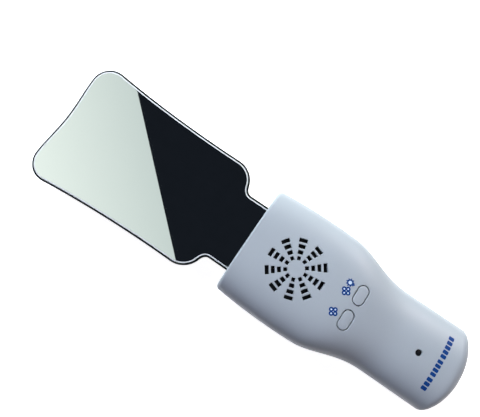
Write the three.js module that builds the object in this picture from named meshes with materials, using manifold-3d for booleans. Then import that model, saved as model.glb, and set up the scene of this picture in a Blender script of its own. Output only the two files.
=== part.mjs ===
// Fog-free intraoral photography mirror: a glass mirror blade that plugs into a handle with a
// blower, two lamps and a rechargeable cell. Millimetres, +Z up, origin at the bottom centre of
// the bounding box, +X from the mirror's tip to the handle's tail, underside on z = 0.
import * as THREE from 'three';
import { mergeVertices } from 'three/addons/utils/BufferGeometryUtils.js';
import Module from 'manifold-3d';

const wasm = await Module();
wasm.setup();

// ---- Driving dimensions --------------------------------------------------------------------
const TIP_X = -118.4;
const TAIL_X = 118.4;
const FRONT_X = 0.2; // front rim of the handle
const GAP = 0.3; // clearance between neighbouring pieces
const WALL = 2;

// Handle form, measured from the parting plane
const PARTING_Z = 14.5;
const HEAD_HALF_WIDTH = 30;
const HEAD_WIDEST_X = 28.5;
const HEAD_SIDE_CURVE = 0.001686;
const GRIP_HALF_WIDTH = 21.85;
const HEAD_CROWN = 14.5;
const GRIP_CROWN = 11.2;
const HEAD_SQUARENESS = 3.4;
const GRIP_SQUARENESS = 2.5;
const WAIST_START_X = 44.5;
const WAIST_END_X = 79.5;
const TAIL_ROUND_X = 109.9;
const TAIL_PLAN_POWER = 1.7;
const TAIL_SIDE_POWER = 2.6;
const UNDERSIDE_DEPTH = 14.5;
const UNDERSIDE_SQUARENESS = 4;
const UNDERSIDE_BULGE = 0.5;
const FRONT_CORNER_RADIUS = 2;
const FRONT_RIM_RADIUS = 0.8;
const FRONT_STEPS = [0.12, 0.4, 0.8, 1.3, 2]; // sections that follow the rounding of the front rim
const CROWN_LAG = 6; // the crown drops this far behind the waist
const CUT_LOW_Z = 20; // openings in the crown are cut between these heights
const CUT_HIGH_Z = 35;

// Mirror blade
const MIRROR_TOP_Z = 13;
const MIRROR_THICKNESS = 3;
const TANG_HALF_WIDTH = 19.2;
const TANG_END_X = 25.5;
const TANG_CLEARANCE = 0.4;
const SHOULDER_RADIUS = 12;
const TIP_CORNER_RADIUS = 10.9;

// Blower and grille
const FAN_X = 26.7;
const BLOWER_FLOOR_Z = 14.4;
const BLOWER_PLATE = 1.1;
const BLOWER_EAR = 1.6;
const BLOWER_WALL = 1.3;
const BLOWER_RIM_Z = 23.4;
const BLOWER_MOUTH_X = 10.1;
const SCROLL_WIDE = 18;
const SCROLL_NARROW = 14.6;
const SCROLL_START = -Math.PI / 2;
const SCROLL_SWEEP = (Math.PI * 4) / 3;
const IMPELLER_RADIUS = 12.6;
const IMPELLER_LOW_Z = 16.9;
const IMPELLER_HIGH_Z = 22.9;
const IMPELLER_BLADES = 17;
const HUB_INNER_RADIUS = 8;
const HUB_RADIUS = 8.6;
const HUB_HIGH_Z = 21.7;
const HUB_CAP = 1.2;
const STATOR_LOW_Z = 16.7;
const STATOR_HIGH_Z = 19.9;
const STATOR_POLES = 4;
const GRILLE_RAYS = 10;
const GRILLE_RADII = [5.08, 7.93, 10.78, 13.65];
const GRILLE_WIDTHS = [1.75, 2.55, 3.35, 4.15];
const GRILLE_SLOT_DEPTH = 1.85;

// Air outlet and lamps in the front bezel
const OUTLET_HALF_WIDTH = 15;
const OUTLET_LOW_Z = 15.2;
const OUTLET_HIGH_Z = 22.2;
const LAMP_Y = 21.7;
const LAMP_Z = 18.3;
const LAMP_RADIUS = 2.5;
const LAMP_REAR_X = FRONT_X + 4.4;

// Electronics
const BOARD_Z = 16;
const BOARD_THICKNESS = 1.6;
const BUTTON_X = 57.9;
const BUTTON_Y = 6.6;
const BUTTON_LENGTH = 9.5;
const BUTTON_WIDTH = 5.1;
const BUTTON_GAP = 0.4;
const INDICATOR_X = 93.9;
const INDICATOR_RADIUS = 1.6;
const SOCKET_Z = 14.1;
const SOCKET_LENGTH = 8.9;
const SOCKET_HEIGHT = 3.2;
const SOCKET_CLEARANCE = 0.5;
const LEAD_RADIUS = 0.6;
const BATTERY_START_X = 57.5;
const BATTERY_END_X = 104;
const BATTERY_HALF_WIDTH = 16;
const BATTERY_LOW_Z = 3.4;
const BATTERY_HEIGHT = 9.6;
const RIB_THICKNESS = 1.2;
const RIB_HIGH_Z = 8;

// Fasteners
const HOUSING_SCREW = { headRadius: 2.1, headHeight: 1.5, shankRadius: 1.1, length: 13 };
const BLOWER_SCREW = { headRadius: 1.9, headHeight: 1.4, shankRadius: 0.9, length: 10 };
const BOARD_SCREW = { headRadius: 1.9, headHeight: 1.4, shankRadius: 0.9, length: 8 };
const HOUSING_HOLE_RADIUS = 1.4;
const SMALL_HOLE_RADIUS = 1.2;
const HOUSING_SEAT_Z = 8;
const HOUSING_SCREWS = [
  ['front_left', 39.5, 22.5],
  ['front_right', 39.5, -22.5],
  ['rear_left', 108, 12.5],
  ['rear_right', 108, -12.5],
];
const BOARD_SCREWS = [
  ['left', 52, 13.5],
  ['right', 52, -13.5],
  ['rear', 102, 0],
];
const BLOWER_SCREWS = [
  ['left', 41.9, 15],
  ['right', 41.9, -15],
];

// ---- Materials -----------------------------------------------------------------------------
function finish(color, roughness, metalness = 0) {
  return new THREE.MeshStandardMaterial({ color, roughness, metalness });
}

const FINISHES = {
  shell: () => finish(0xd3dae4, 0.42),
  bezel: () => finish(0x2b2d31, 0.5),
  mirror: () => finish(0xd8e4de, 0.03, 1),
  darkPlastic: () => finish(0x17181b, 0.55),
  naturalPlastic: () => finish(0xe6e4da, 0.5),
  button: () => finish(0xccd4de, 0.45),
  steel: () => finish(0xb4b8bc, 0.3, 1),
  springSteel: () => finish(0x9ba0a6, 0.28, 1),
  copper: () => finish(0xb87333, 0.35, 1),
  magnet: () => finish(0x3a3a3c, 0.6, 0.4),
  bronze: () => finish(0xa9824c, 0.4, 1),
  board: () => finish(0x1f6b3a, 0.5),
  whiteBoard: () => finish(0xe9ecec, 0.5),
  lens: () => finish(0xf4f7fa, 0.08),
  smoke: () => finish(0x35383c, 0.2),
  foil: () => finish(0xa6adb3, 0.38, 0.7),
  foam: () => finish(0x2d2d2d, 0.95),
  redWire: () => finish(0xa3221e, 0.5),
  blackWire: () => finish(0x151515, 0.5),
};

// ---- Solid tools ---------------------------------------------------------------------------
function toSolid(geometry) {
  const bare = geometry.clone();
  bare.deleteAttribute('normal');
  bare.deleteAttribute('uv');
  const merged = mergeVertices(bare, 1e-4);
  const source = merged.index.array;
  const triangles = [];
  for (let i = 0; i < source.length; i += 3) {
    const [a, b, c] = [source[i], source[i + 1], source[i + 2]];
    if (a !== b && b !== c && c !== a) {
      triangles.push(a, b, c);
    }
  }
  const mesh = new wasm.Mesh({
    numProp: 3,
    vertProperties: new Float32Array(merged.attributes.position.array),
    triVerts: new Uint32Array(triangles),
  });
  return new wasm.Manifold(mesh);
}

function toGeometry(solid) {
  const mesh = solid.getMesh();
  const geometry = new THREE.BufferGeometry();
  geometry.setAttribute('position', new THREE.BufferAttribute(mesh.vertProperties, 3));
  geometry.setIndex(new THREE.BufferAttribute(mesh.triVerts, 1));
  geometry.computeVertexNormals();
  return geometry;
}

function join(first, ...others) {
  return others.reduce((total, next) => total.add(next), first);
}

function cut(first, ...others) {
  return others.reduce((total, next) => total.subtract(next), first);
}

// ---- Shape tools ---------------------------------------------------------------------------
function block(x0, x1, y0, y1, z0, z1) {
  const geometry = new THREE.BoxGeometry(x1 - x0, y1 - y0, z1 - z0);
  return geometry.translate((x0 + x1) / 2, (y0 + y1) / 2, (z0 + z1) / 2);
}

// An outline drawn in X and Y, raised from z0 to z1.
function prism(shape, z0, z1, segments = 8) {
  const options = { depth: z1 - z0, bevelEnabled: false, curveSegments: segments };
  return new THREE.ExtrudeGeometry(shape, options).translate(0, 0, z0);
}

const ALONG_X = new THREE.Matrix4().makeBasis(
  new THREE.Vector3(0, 1, 0),
  new THREE.Vector3(0, 0, 1),
  new THREE.Vector3(1, 0, 0),
);

// An outline drawn in Y and Z, pushed from x0 to x1.
function prismAlongX(shape, x0, x1, segments = 8) {
  const options = { depth: x1 - x0, bevelEnabled: false, curveSegments: segments };
  return new THREE.ExtrudeGeometry(shape, options).applyMatrix4(ALONG_X).translate(x0, 0, 0);
}

// An upright cylinder.
function post(x, y, radius, z0, z1, sides = 24) {
  const geometry = new THREE.CylinderGeometry(radius, radius, z1 - z0, sides);
  return geometry.rotateX(Math.PI / 2).translate(x, y, (z0 + z1) / 2);
}

// A cylinder along X, with its axis at (y, z).
function postAlongX(y, z, radius, x0, x1, sides = 24) {
  const geometry = new THREE.CylinderGeometry(radius, radius, x1 - x0, sides);
  return geometry.rotateZ(-Math.PI / 2).translate((x0 + x1) / 2, y, z);
}

// An upright ring.
function ring(x, y, inner, outer, z0, z1, sides = 32) {
  const profile = [
    new THREE.Vector2(inner, z0),
    new THREE.Vector2(outer, z0),
    new THREE.Vector2(outer, z1),
    new THREE.Vector2(inner, z1),
    new THREE.Vector2(inner, z0),
  ];
  return new THREE.LatheGeometry(profile, sides).rotateX(Math.PI / 2).translate(x, y, 0);
}

function rectangle(x0, x1, y0, y1) {
  const shape = new THREE.Shape();
  shape.moveTo(x0, y0);
  shape.lineTo(x1, y0);
  shape.lineTo(x1, y1);
  shape.lineTo(x0, y1);
  shape.closePath();
  return shape;
}

// A slot with round ends, long across its first axis, centred on (u, v).
function obround(u, v, long, wide) {
  const radius = wide / 2;
  const reach = long / 2 - radius;
  const shape = new THREE.Shape();
  shape.moveTo(u - reach, v - radius);
  shape.lineTo(u + reach, v - radius);
  shape.absarc(u + reach, v, radius, -Math.PI / 2, Math.PI / 2, false);
  shape.lineTo(u - reach, v + radius);
  shape.absarc(u - reach, v, radius, Math.PI / 2, Math.PI * 1.5, false);
  return shape;
}

// A closed solid through rings with equal point counts, closed by a fan at each end.
function loft(rings, firstCentre, lastCentre) {
  const count = rings[0].length;
  const points = [...rings.flat(), firstCentre, lastCentre];
  const firstPole = rings.length * count;
  const index = [];
  for (let j = 0; j < count; j += 1) {
    const next = (j + 1) % count;
    for (let i = 0; i + 1 < rings.length; i += 1) {
      const low = i * count;
      const high = low + count;
      index.push(low + j, low + next, high + next);
      index.push(low + j, high + next, high + j);
    }
    const last = firstPole - count;
    index.push(firstPole, next, j);
    index.push(firstPole + 1, last + j, last + next);
  }
  const geometry = new THREE.BufferGeometry().setFromPoints(points);
  geometry.setIndex(index);
  return geometry;
}

// A round tube along a smooth curve through the given points.
function lead(points, radius, steps) {
  const path = new THREE.CatmullRomCurve3(points.map((p) => new THREE.Vector3(...p)));
  const section = new THREE.Shape();
  section.absarc(0, 0, radius, 0, Math.PI * 2, false);
  return new THREE.ExtrudeGeometry(section, {
    extrudePath: path,
    steps,
    curveSegments: 4,
    bevelEnabled: false,
  });
}

// ---- Handle form ---------------------------------------------------------------------------
function smooth(x, start, end) {
  return THREE.MathUtils.smoothstep(x, start, end);
}

function bodyHalfWidth(x) {
  const head = HEAD_HALF_WIDTH - HEAD_SIDE_CURVE * (x - HEAD_WIDEST_X) ** 2;
  return THREE.MathUtils.lerp(head, GRIP_HALF_WIDTH, smooth(x, WAIST_START_X, WAIST_END_X));
}

function crownHeight(x) {
  return THREE.MathUtils.lerp(HEAD_CROWN, GRIP_CROWN, smooth(x - CROWN_LAG, WAIST_START_X, WAIST_END_X));
}

function crownSquareness(x) {
  const share = smooth(x, WAIST_START_X, WAIST_END_X);
  return THREE.MathUtils.lerp(HEAD_SQUARENESS, GRIP_SQUARENESS, share);
}

// How far an edge of the given radius draws in at a distance behind the front rim.
function edgeInset(distance, radius) {
  const left = Math.max(radius - distance, 0);
  return radius - Math.sqrt(radius ** 2 - left ** 2);
}

// One cross-section of the handle, drawn in by inset, as a ring of points around +X.
function handleSection(x, inset, count) {
  const run = Math.max(x - TAIL_ROUND_X, 0) / (TAIL_X - inset - TAIL_ROUND_X);
  const sideEnd = (1 - run ** TAIL_PLAN_POWER) ** (1 / TAIL_PLAN_POWER);
  const heightEnd = (1 - run ** TAIL_SIDE_POWER) ** (1 / TAIL_SIDE_POWER);
  const rim = inset > 0 ? 0 : edgeInset(x - FRONT_X, FRONT_RIM_RADIUS);
  const corner = inset > 0 ? 0 : edgeInset(x - FRONT_X, FRONT_CORNER_RADIUS);
  const halfWidth = (bodyHalfWidth(x) - inset) * sideEnd - corner;
  const up = (crownHeight(x) - inset) * heightEnd - rim;
  const down = (UNDERSIDE_DEPTH - inset) * heightEnd - rim;
  const points = [];
  for (let j = 0; j < count; j += 1) {
    const angle = (2 * Math.PI * j) / count;
    const c = Math.cos(angle);
    const s = Math.sin(angle);
    const power = 2 / (s >= 0 ? crownSquareness(x) : UNDERSIDE_SQUARENESS);
    const y = halfWidth * Math.sign(c) * Math.abs(c) ** power;
    const rise = s >= 0 ? up * s ** power : -Math.min(down, (down + UNDERSIDE_BULGE) * (-s) ** power);
    points.push(new THREE.Vector3(x, y, PARTING_Z + rise));
  }
  return points;
}

function handleForm(startX, inset, count, tailSteps) {
  const endX = TAIL_X - inset;
  const frontSteps = inset > 0 ? [] : FRONT_STEPS;
  const stations = [startX, ...frontSteps.map((step) => FRONT_X + step)];
  const bodySteps = inset > 0 ? 9 : 14;
  for (let i = 1; i <= bodySteps; i += 1) {
    stations.push(THREE.MathUtils.lerp(FRONT_X + 2, TAIL_ROUND_X, i / bodySteps));
  }
  for (let i = 1; i < tailSteps; i += 1) {
    const swing = (Math.PI / 2) * (i / tailSteps);
    stations.push(TAIL_ROUND_X + (endX - TAIL_ROUND_X) * Math.sin(swing));
  }
  const rings = stations.map((x) => handleSection(x, inset, count));
  const front = new THREE.Vector3(startX, 0, PARTING_Z);
  const tail = new THREE.Vector3(endX, 0, PARTING_Z);
  return toSolid(loft(rings, front, tail));
}

const OUTER_FORM = handleForm(FRONT_X, 0, 44, 7);
const INNER_FORM = handleForm(FRONT_X - 2, WALL, 32, 5);
const SHELL_WALL = OUTER_FORM.subtract(INNER_FORM);

// ---- Housing -------------------------------------------------------------------------------
// Everything between two heights, with a margin beyond the handle on each side.
function slab(z0, z1) {
  const margin = 10;
  const halfWidth = HEAD_HALF_WIDTH + margin;
  return toSolid(block(FRONT_X - margin, TAIL_X + margin, -halfWidth, halfWidth, z0, z1));
}

function grilleSlots() {
  const slots = [];
  for (let ray = 0; ray < GRILLE_RAYS; ray += 1) {
    const angle = (2 * Math.PI * ray) / GRILLE_RAYS;
    GRILLE_RADII.forEach((radius, level) => {
      const half = GRILLE_WIDTHS[level] / 2;
      const near = radius - GRILLE_SLOT_DEPTH / 2;
      const slot = block(near, near + GRILLE_SLOT_DEPTH, -half, half, CUT_LOW_Z, CUT_HIGH_Z);
      slots.push(toSolid(slot.rotateZ(angle).translate(FAN_X, 0, 0)));
    });
  }
  return slots;
}

function buttonOutline(side, grow) {
  return obround(side * BUTTON_Y, -BUTTON_X, BUTTON_LENGTH + 2 * grow, BUTTON_WIDTH + 2 * grow);
}

// The button outline is drawn long across Y, so it is turned a quarter before it is placed.
function buttonPrism(side, grow, z0, z1, segments = 6) {
  return prism(buttonOutline(side, grow), z0, z1, segments).rotateZ(Math.PI / 2);
}

function socketHole() {
  const length = SOCKET_LENGTH + 2 * SOCKET_CLEARANCE;
  const height = SOCKET_HEIGHT + 2 * SOCKET_CLEARANCE;
  return toSolid(prismAlongX(obround(0, SOCKET_Z, length, height), TAIL_X - 7, TAIL_X + 3, 6));
}

function makeTopShell() {
  const seamZ = PARTING_Z + GAP / 2;
  const boardSeatZ = BOARD_Z + BOARD_THICKNESS + GAP;
  const bosses = [];
  const holes = [];
  HOUSING_SCREWS.forEach(([, x, y]) => {
    bosses.push(toSolid(post(x, y, 2.8, seamZ, CUT_HIGH_Z, 14)));
    holes.push(toSolid(post(x, y, HOUSING_HOLE_RADIUS, seamZ - 1, 21, 10)));
  });
  BOARD_SCREWS.forEach(([, x, y]) => {
    bosses.push(toSolid(post(x, y, 2.3, boardSeatZ, CUT_HIGH_Z, 14)));
    holes.push(toSolid(post(x, y, SMALL_HOLE_RADIUS, boardSeatZ - 1, 23, 10)));
  });
  const above = slab(seamZ, CUT_HIGH_Z);
  const body = join(SHELL_WALL, ...bosses).intersect(OUTER_FORM).intersect(above);
  const keyholes = [-1, 1].map((side) => {
    return toSolid(buttonPrism(side, BUTTON_GAP, CUT_LOW_Z, CUT_HIGH_Z));
  });
  const indicator = toSolid(post(INDICATOR_X, 0, INDICATOR_RADIUS, CUT_LOW_Z, CUT_HIGH_Z, 24));
  return toGeometry(cut(body, ...holes, ...grilleSlots(), ...keyholes, indicator, socketHole()));
}

// Low walls in the bottom shell that keep the cell in place.
function batteryRibs() {
  const half = RIB_THICKNESS / 2;
  const sideY = BATTERY_HALF_WIDTH + half + 0.5;
  const endX = BATTERY_START_X - 2;
  const sides = [-1, 1].map((side) => {
    return toSolid(block(62, 100, side * sideY - half, side * sideY + half, 1, RIB_HIGH_Z));
  });
  return [...sides, toSolid(block(endX - half, endX + half, -14, 14, 1, RIB_HIGH_Z))];
}

function makeBottomShell() {
  const seamZ = PARTING_Z - GAP / 2;
  const bosses = [];
  const holes = [];
  HOUSING_SCREWS.forEach(([, x, y]) => {
    bosses.push(toSolid(post(x, y, 3.4, 0, seamZ, 16)));
    holes.push(toSolid(post(x, y, 2.5, -3, HOUSING_SEAT_Z, 20)));
    holes.push(toSolid(post(x, y, HOUSING_HOLE_RADIUS, HOUSING_SEAT_Z - 1, seamZ + 1, 12)));
  });
  BLOWER_SCREWS.forEach(([, x, y]) => {
    bosses.push(toSolid(post(x, y, 2.4, 1, BLOWER_FLOOR_Z - GAP, 14)));
    holes.push(toSolid(post(x, y, SMALL_HOLE_RADIUS, 5.5, 20, 12)));
  });
  const body = join(SHELL_WALL, ...bosses, ...batteryRibs());
  const below = slab(-5, seamZ);
  return toGeometry(cut(body.intersect(OUTER_FORM).intersect(below), ...holes, socketHole()));
}

function makeFrontBezel() {
  const startX = FRONT_X + 0.8;
  const endX = FRONT_X + 3.4;
  const inset = WALL + 0.4;
  const rings = [startX, endX].map((x) => handleSection(x, inset, 48));
  const front = new THREE.Vector3(startX, 0, PARTING_Z);
  const rear = new THREE.Vector3(endX, 0, PARTING_Z);
  const plate = toSolid(loft(rings, front, rear));
  const reach = 9;
  const slotHalf = TANG_HALF_WIDTH + TANG_CLEARANCE;
  const slotLow = MIRROR_TOP_Z - MIRROR_THICKNESS - TANG_CLEARANCE;
  const slotHigh = MIRROR_TOP_Z + TANG_CLEARANCE;
  const slot = toSolid(block(-reach, reach, -slotHalf, slotHalf, slotLow, slotHigh));
  const outlet = toSolid(
    block(-reach, reach, -OUTLET_HALF_WIDTH, OUTLET_HALF_WIDTH, OUTLET_LOW_Z, OUTLET_HIGH_Z),
  );
  const lamps = [-1, 1].map((side) => {
    return toSolid(postAlongX(side * LAMP_Y, LAMP_Z, LAMP_RADIUS + GAP, -reach, reach, 24));
  });
  return toGeometry(cut(plate, slot, outlet, ...lamps));
}

// ---- Mirror --------------------------------------------------------------------------------
// Half of the blade's outline is drawn on +Y from the tang to the tip, then mirrored.
function mirrorHalfOutline() {
  const path = new THREE.Path();
  path.moveTo(TANG_END_X, TANG_HALF_WIDTH - 1.5);
  path.lineTo(TANG_END_X - 1.5, TANG_HALF_WIDTH);
  path.lineTo(-10.9, TANG_HALF_WIDTH);
  path.quadraticCurveTo(-13.4, TANG_HALF_WIDTH, -14.7, 22.5);
  path.absarc(-26.3, 19.45, SHOULDER_RADIUS, 0.26, Math.PI / 2, false);
  path.bezierCurveTo(-56.5, 31.2, -86.5, 33.2, -100.5, 35.25);
  path.absarc(-107.5, 24.7, TIP_CORNER_RADIUS, Math.PI / 2 - 0.12, Math.PI, false);
  path.bezierCurveTo(TIP_X, 16, TIP_X + 1.5, 10, TIP_X + 1.5, 0);
  return path.getPoints(7);
}

function makeMirrorPlate() {
  const half = mirrorHalfOutline();
  const other = half.slice(0, -1).reverse();
  const outline = [...half, ...other.map((p) => new THREE.Vector2(p.x, -p.y))];
  const bevel = 0.35;
  return new THREE.ExtrudeGeometry(new THREE.Shape(outline), {
    depth: MIRROR_THICKNESS - 2 * bevel,
    bevelThickness: bevel,
    bevelSize: bevel,
    bevelOffset: -bevel,
    bevelSegments: 1,
  }).translate(0, 0, MIRROR_TOP_Z - MIRROR_THICKNESS + bevel);
}

// An H-shaped channel that holds the tang, with a stop wall at its inner end.
function makeMirrorTray() {
  const startX = FRONT_X + 3.9;
  const endX = TANG_END_X + 2;
  const wall = 1.4;
  const floorZ = 6;
  const wallLowZ = 3.4;
  const wallHighZ = MIRROR_TOP_Z + 0.7;
  const inside = TANG_HALF_WIDTH + 0.6;
  const outside = inside + wall;
  const sides = [[-outside, -inside], [inside, outside]].map(([y0, y1]) => {
    return toSolid(block(startX, endX, y0, y1, wallLowZ, wallHighZ));
  });
  const reach = inside + wall / 2;
  const floor = toSolid(block(startX, endX, -reach, reach, floorZ, floorZ + wall));
  const stop = toSolid(
    block(TANG_END_X + TANG_CLEARANCE, endX, -reach, reach, floorZ + 1, wallHighZ),
  );
  return toGeometry(join(floor, stop, ...sides));
}

// A leaf spring arched from end to end under the tang.
function makeMirrorSpring(side) {
  const startX = 7.5;
  const length = 16;
  const low = 7.7;
  const rise = 1.6;
  const thick = 0.4;
  const width = 6;
  const middle = side * 11;
  const steps = 10;
  const arch = (u) => low + rise * Math.sin(Math.PI * u) ** 2;
  const under = [];
  for (let i = 0; i <= steps; i += 1) {
    under.push(new THREE.Vector2(startX + (length * i) / steps, arch(i / steps)));
  }
  const over = under.map((p) => new THREE.Vector2(p.x, p.y + thick)).reverse();
  const shape = new THREE.Shape([...under, ...over]);
  const strip = new THREE.ExtrudeGeometry(shape, { depth: width, bevelEnabled: false });
  return strip.rotateX(Math.PI / 2).translate(0, middle + width / 2, 0);
}

// ---- Blower --------------------------------------------------------------------------------
function scrollPoint(share, grow) {
  const angle = SCROLL_START + share * SCROLL_SWEEP;
  const radius = THREE.MathUtils.lerp(SCROLL_WIDE, SCROLL_NARROW, share) + grow;
  return new THREE.Vector2(FAN_X + radius * Math.cos(angle), radius * Math.sin(angle));
}

// The scroll's outline, grown by an offset, with its mouth at mouthX.
function scrollOutline(grow, mouthX) {
  const points = [new THREE.Vector2(mouthX, -SCROLL_WIDE - grow)];
  const steps = 24;
  for (let i = 0; i <= steps; i += 1) {
    points.push(scrollPoint(i / steps, grow));
  }
  const lipY = SCROLL_NARROW * Math.sin(SCROLL_START + SCROLL_SWEEP) + grow;
  points.push(new THREE.Vector2(mouthX, lipY));
  return new THREE.Shape(points);
}

function makeBlowerBase() {
  const floorZ = BLOWER_FLOOR_Z + BLOWER_PLATE;
  const earZ = BLOWER_FLOOR_Z + BLOWER_EAR;
  const outline = scrollOutline(BLOWER_WALL, BLOWER_MOUTH_X);
  const outside = toSolid(prism(outline, BLOWER_FLOOR_Z, BLOWER_RIM_Z));
  const inside = toSolid(prism(scrollOutline(0, BLOWER_MOUTH_X - 3), floorZ, BLOWER_RIM_Z + 3));
  const ears = BLOWER_SCREWS.map(([, x, y]) => toSolid(post(x, y, 3, BLOWER_FLOOR_Z, earZ, 20)));
  const arms = BLOWER_SCREWS.map(([, x, y]) => {
    const arm = block(0, 6, -2.2, 2.2, BLOWER_FLOOR_Z, earZ);
    return toSolid(arm.rotateZ(Math.atan2(-y, FAN_X - x)).translate(x, y, 0));
  });
  const screwHoles = BLOWER_SCREWS.map(([, x, y]) => {
    return toSolid(post(x, y, BLOWER_SCREW.shankRadius + 0.5, 10, 20, 12));
  });
  const tube = toSolid(ring(FAN_X, 0, 2.2, 3, floorZ - 0.4, floorZ + 4.5, 24));
  const casing = cut(join(outside, ...ears, ...arms), inside);
  return toGeometry(cut(join(casing, tube), ...screwHoles));
}

function makeBlowerCover() {
  const low = BLOWER_RIM_Z + GAP;
  const lid = toSolid(prism(scrollOutline(BLOWER_WALL, BLOWER_MOUTH_X), low, low + BLOWER_PLATE));
  const inlet = toSolid(post(FAN_X, 0, 10.5, low - 1, low + 3, 32));
  return toGeometry(cut(lid, inlet));
}

function makeImpeller() {
  const plate = 0.8;
  const bladeHalf = 0.35;
  const bladeRoot = HUB_RADIUS + 0.1;
  const bladeSlant = 0.5;
  const hubSides = 28;
  const hub = ring(FAN_X, 0, HUB_INNER_RADIUS, HUB_RADIUS + 0.4, IMPELLER_LOW_Z, HUB_HIGH_Z, hubSides);
  const cap = post(FAN_X, 0, HUB_RADIUS, HUB_HIGH_Z - HUB_CAP, HUB_HIGH_Z, hubSides);
  const disc = ring(
    FAN_X, 0, HUB_RADIUS, IMPELLER_RADIUS, IMPELLER_LOW_Z, IMPELLER_LOW_Z + plate, hubSides,
  );
  const blades = [];
  for (let i = 0; i < IMPELLER_BLADES; i += 1) {
    const blade = block(
      bladeRoot, IMPELLER_RADIUS, -bladeHalf, bladeHalf, IMPELLER_LOW_Z, IMPELLER_HIGH_Z,
    );
    blade.translate(-bladeRoot, 0, 0).rotateZ(bladeSlant).translate(bladeRoot, 0, 0);
    const turn = (2 * Math.PI * i) / IMPELLER_BLADES;
    blades.push(toSolid(blade.rotateZ(turn).translate(FAN_X, 0, 0)));
  }
  return toGeometry(join(toSolid(hub), toSolid(cap), toSolid(disc), ...blades));
}

function makeStator() {
  const core = toSolid(ring(FAN_X, 0, 3.3, 4.3, STATOR_LOW_Z, STATOR_HIGH_Z, 24));
  const armLow = STATOR_LOW_Z + 0.2;
  const armHigh = STATOR_HIGH_Z - 0.2;
  const poles = [];
  for (let i = 0; i < STATOR_POLES; i += 1) {
    const turn = (2 * Math.PI * i) / STATOR_POLES;
    const arm = block(4, 5.9, -1.4, 1.4, armLow, armHigh);
    const shoe = block(5.4, 6.1, -1.9, 1.9, armLow + 0.2, armHigh - 0.2);
    [arm, shoe].forEach((piece) => poles.push(toSolid(piece.rotateZ(turn).translate(FAN_X, 0, 0))));
  }
  return toGeometry(join(core, ...poles));
}

// A short duct from the blower's mouth to the outlet in the bezel.
function ductRing(x, y0, y1, z0, z1) {
  return [
    new THREE.Vector3(x, y0, z0),
    new THREE.Vector3(x, y1, z0),
    new THREE.Vector3(x, y1, z1),
    new THREE.Vector3(x, y0, z1),
  ];
}

function ductForm(frontX, rearX, grow) {
  const frontHalf = OUTLET_HALF_WIDTH + grow;
  const lipY = SCROLL_NARROW / 2 + grow;
  const low = OUTLET_LOW_Z - grow;
  const rearHigh = BLOWER_RIM_Z - 0.2 + grow;
  const middleZ = (OUTLET_LOW_Z + OUTLET_HIGH_Z) / 2;
  const front = ductRing(frontX, -frontHalf, frontHalf, low, OUTLET_HIGH_Z + grow);
  const rear = ductRing(rearX, -SCROLL_WIDE - grow, lipY, low, rearHigh);
  const frontPole = new THREE.Vector3(frontX, 0, middleZ);
  const rearPole = new THREE.Vector3(rearX, -4, middleZ);
  return toSolid(loft([front, rear], frontPole, rearPole));
}

function makeAirDuct() {
  const frontX = FRONT_X + 3.7;
  const rearX = BLOWER_MOUTH_X - GAP;
  const wall = 0.9;
  const outer = ductForm(frontX, rearX, wall);
  const inner = ductForm(frontX - 0.01, rearX + 0.01, 0);
  return toGeometry(cut(outer, inner));
}

// ---- Lamps ---------------------------------------------------------------------------------
// A round lens on a thin flange, with its nose towards the mirror.
function makeLamp(side) {
  const flangeRadius = LAMP_RADIUS + 0.1;
  const flange = 0.6;
  const shoulder = 1.6;
  const steps = 4;
  const profile = [
    new THREE.Vector2(0, 0),
    new THREE.Vector2(flangeRadius, 0),
    new THREE.Vector2(flangeRadius, flange),
    new THREE.Vector2(LAMP_RADIUS, flange),
  ];
  for (let i = 0; i <= steps; i += 1) {
    const swing = (Math.PI / 2) * (i / steps);
    const radius = i === steps ? 0 : LAMP_RADIUS * Math.cos(swing);
    profile.push(new THREE.Vector2(radius, shoulder + LAMP_RADIUS * Math.sin(swing)));
  }
  const bulb = new THREE.LatheGeometry(profile, 14).rotateZ(Math.PI / 2);
  return bulb.translate(LAMP_REAR_X, side * LAMP_Y, LAMP_Z);
}

function makeLampBoard(side) {
  const middle = side * LAMP_Y;
  const half = 3.1;
  const nearX = LAMP_REAR_X + 0.5;
  return block(nearX, nearX + 1.2, middle - half, middle + half, LAMP_Z - 3.7, LAMP_Z + 3.7);
}

// ---- Electronics ---------------------------------------------------------------------------
function makeCircuitBoard() {
  const outline = [
    [49, 16.5],
    [61, 16.5],
    [67, 14],
    [103.5, 14],
    [104, 7],
    [114.6, 7],
  ];
  const left = outline.map(([x, y]) => new THREE.Vector2(x, y));
  const right = outline.map(([x, y]) => new THREE.Vector2(x, -y)).reverse();
  const plate = toSolid(prism(new THREE.Shape([...left, ...right]), BOARD_Z, BOARD_Z + BOARD_THICKNESS));
  const holes = BOARD_SCREWS.map(([, x, y]) => {
    return toSolid(post(x, y, BOARD_SCREW.shankRadius + 0.5, 10, 20, 12));
  });
  return toGeometry(cut(plate, ...holes));
}

const BOARD_TOP = BOARD_Z + BOARD_THICKNESS;
const SWITCH_LOW = BOARD_TOP + GAP;

function makeSwitch(side) {
  const y = side * BUTTON_Y;
  const half = 3;
  const height = 3.5;
  const body = block(BUTTON_X - half, BUTTON_X + half, y - half, y + half, SWITCH_LOW, SWITCH_LOW + height);
  const well = post(BUTTON_X, y, 2.05, SWITCH_LOW + 1.4, SWITCH_LOW + 5, 20);
  return toGeometry(cut(toSolid(body), toSolid(well)));
}

function makePlunger(side) {
  return post(BUTTON_X, side * BUTTON_Y, 1.75, SWITCH_LOW + 2.4, SWITCH_LOW + 4.7, 20);
}

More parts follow.
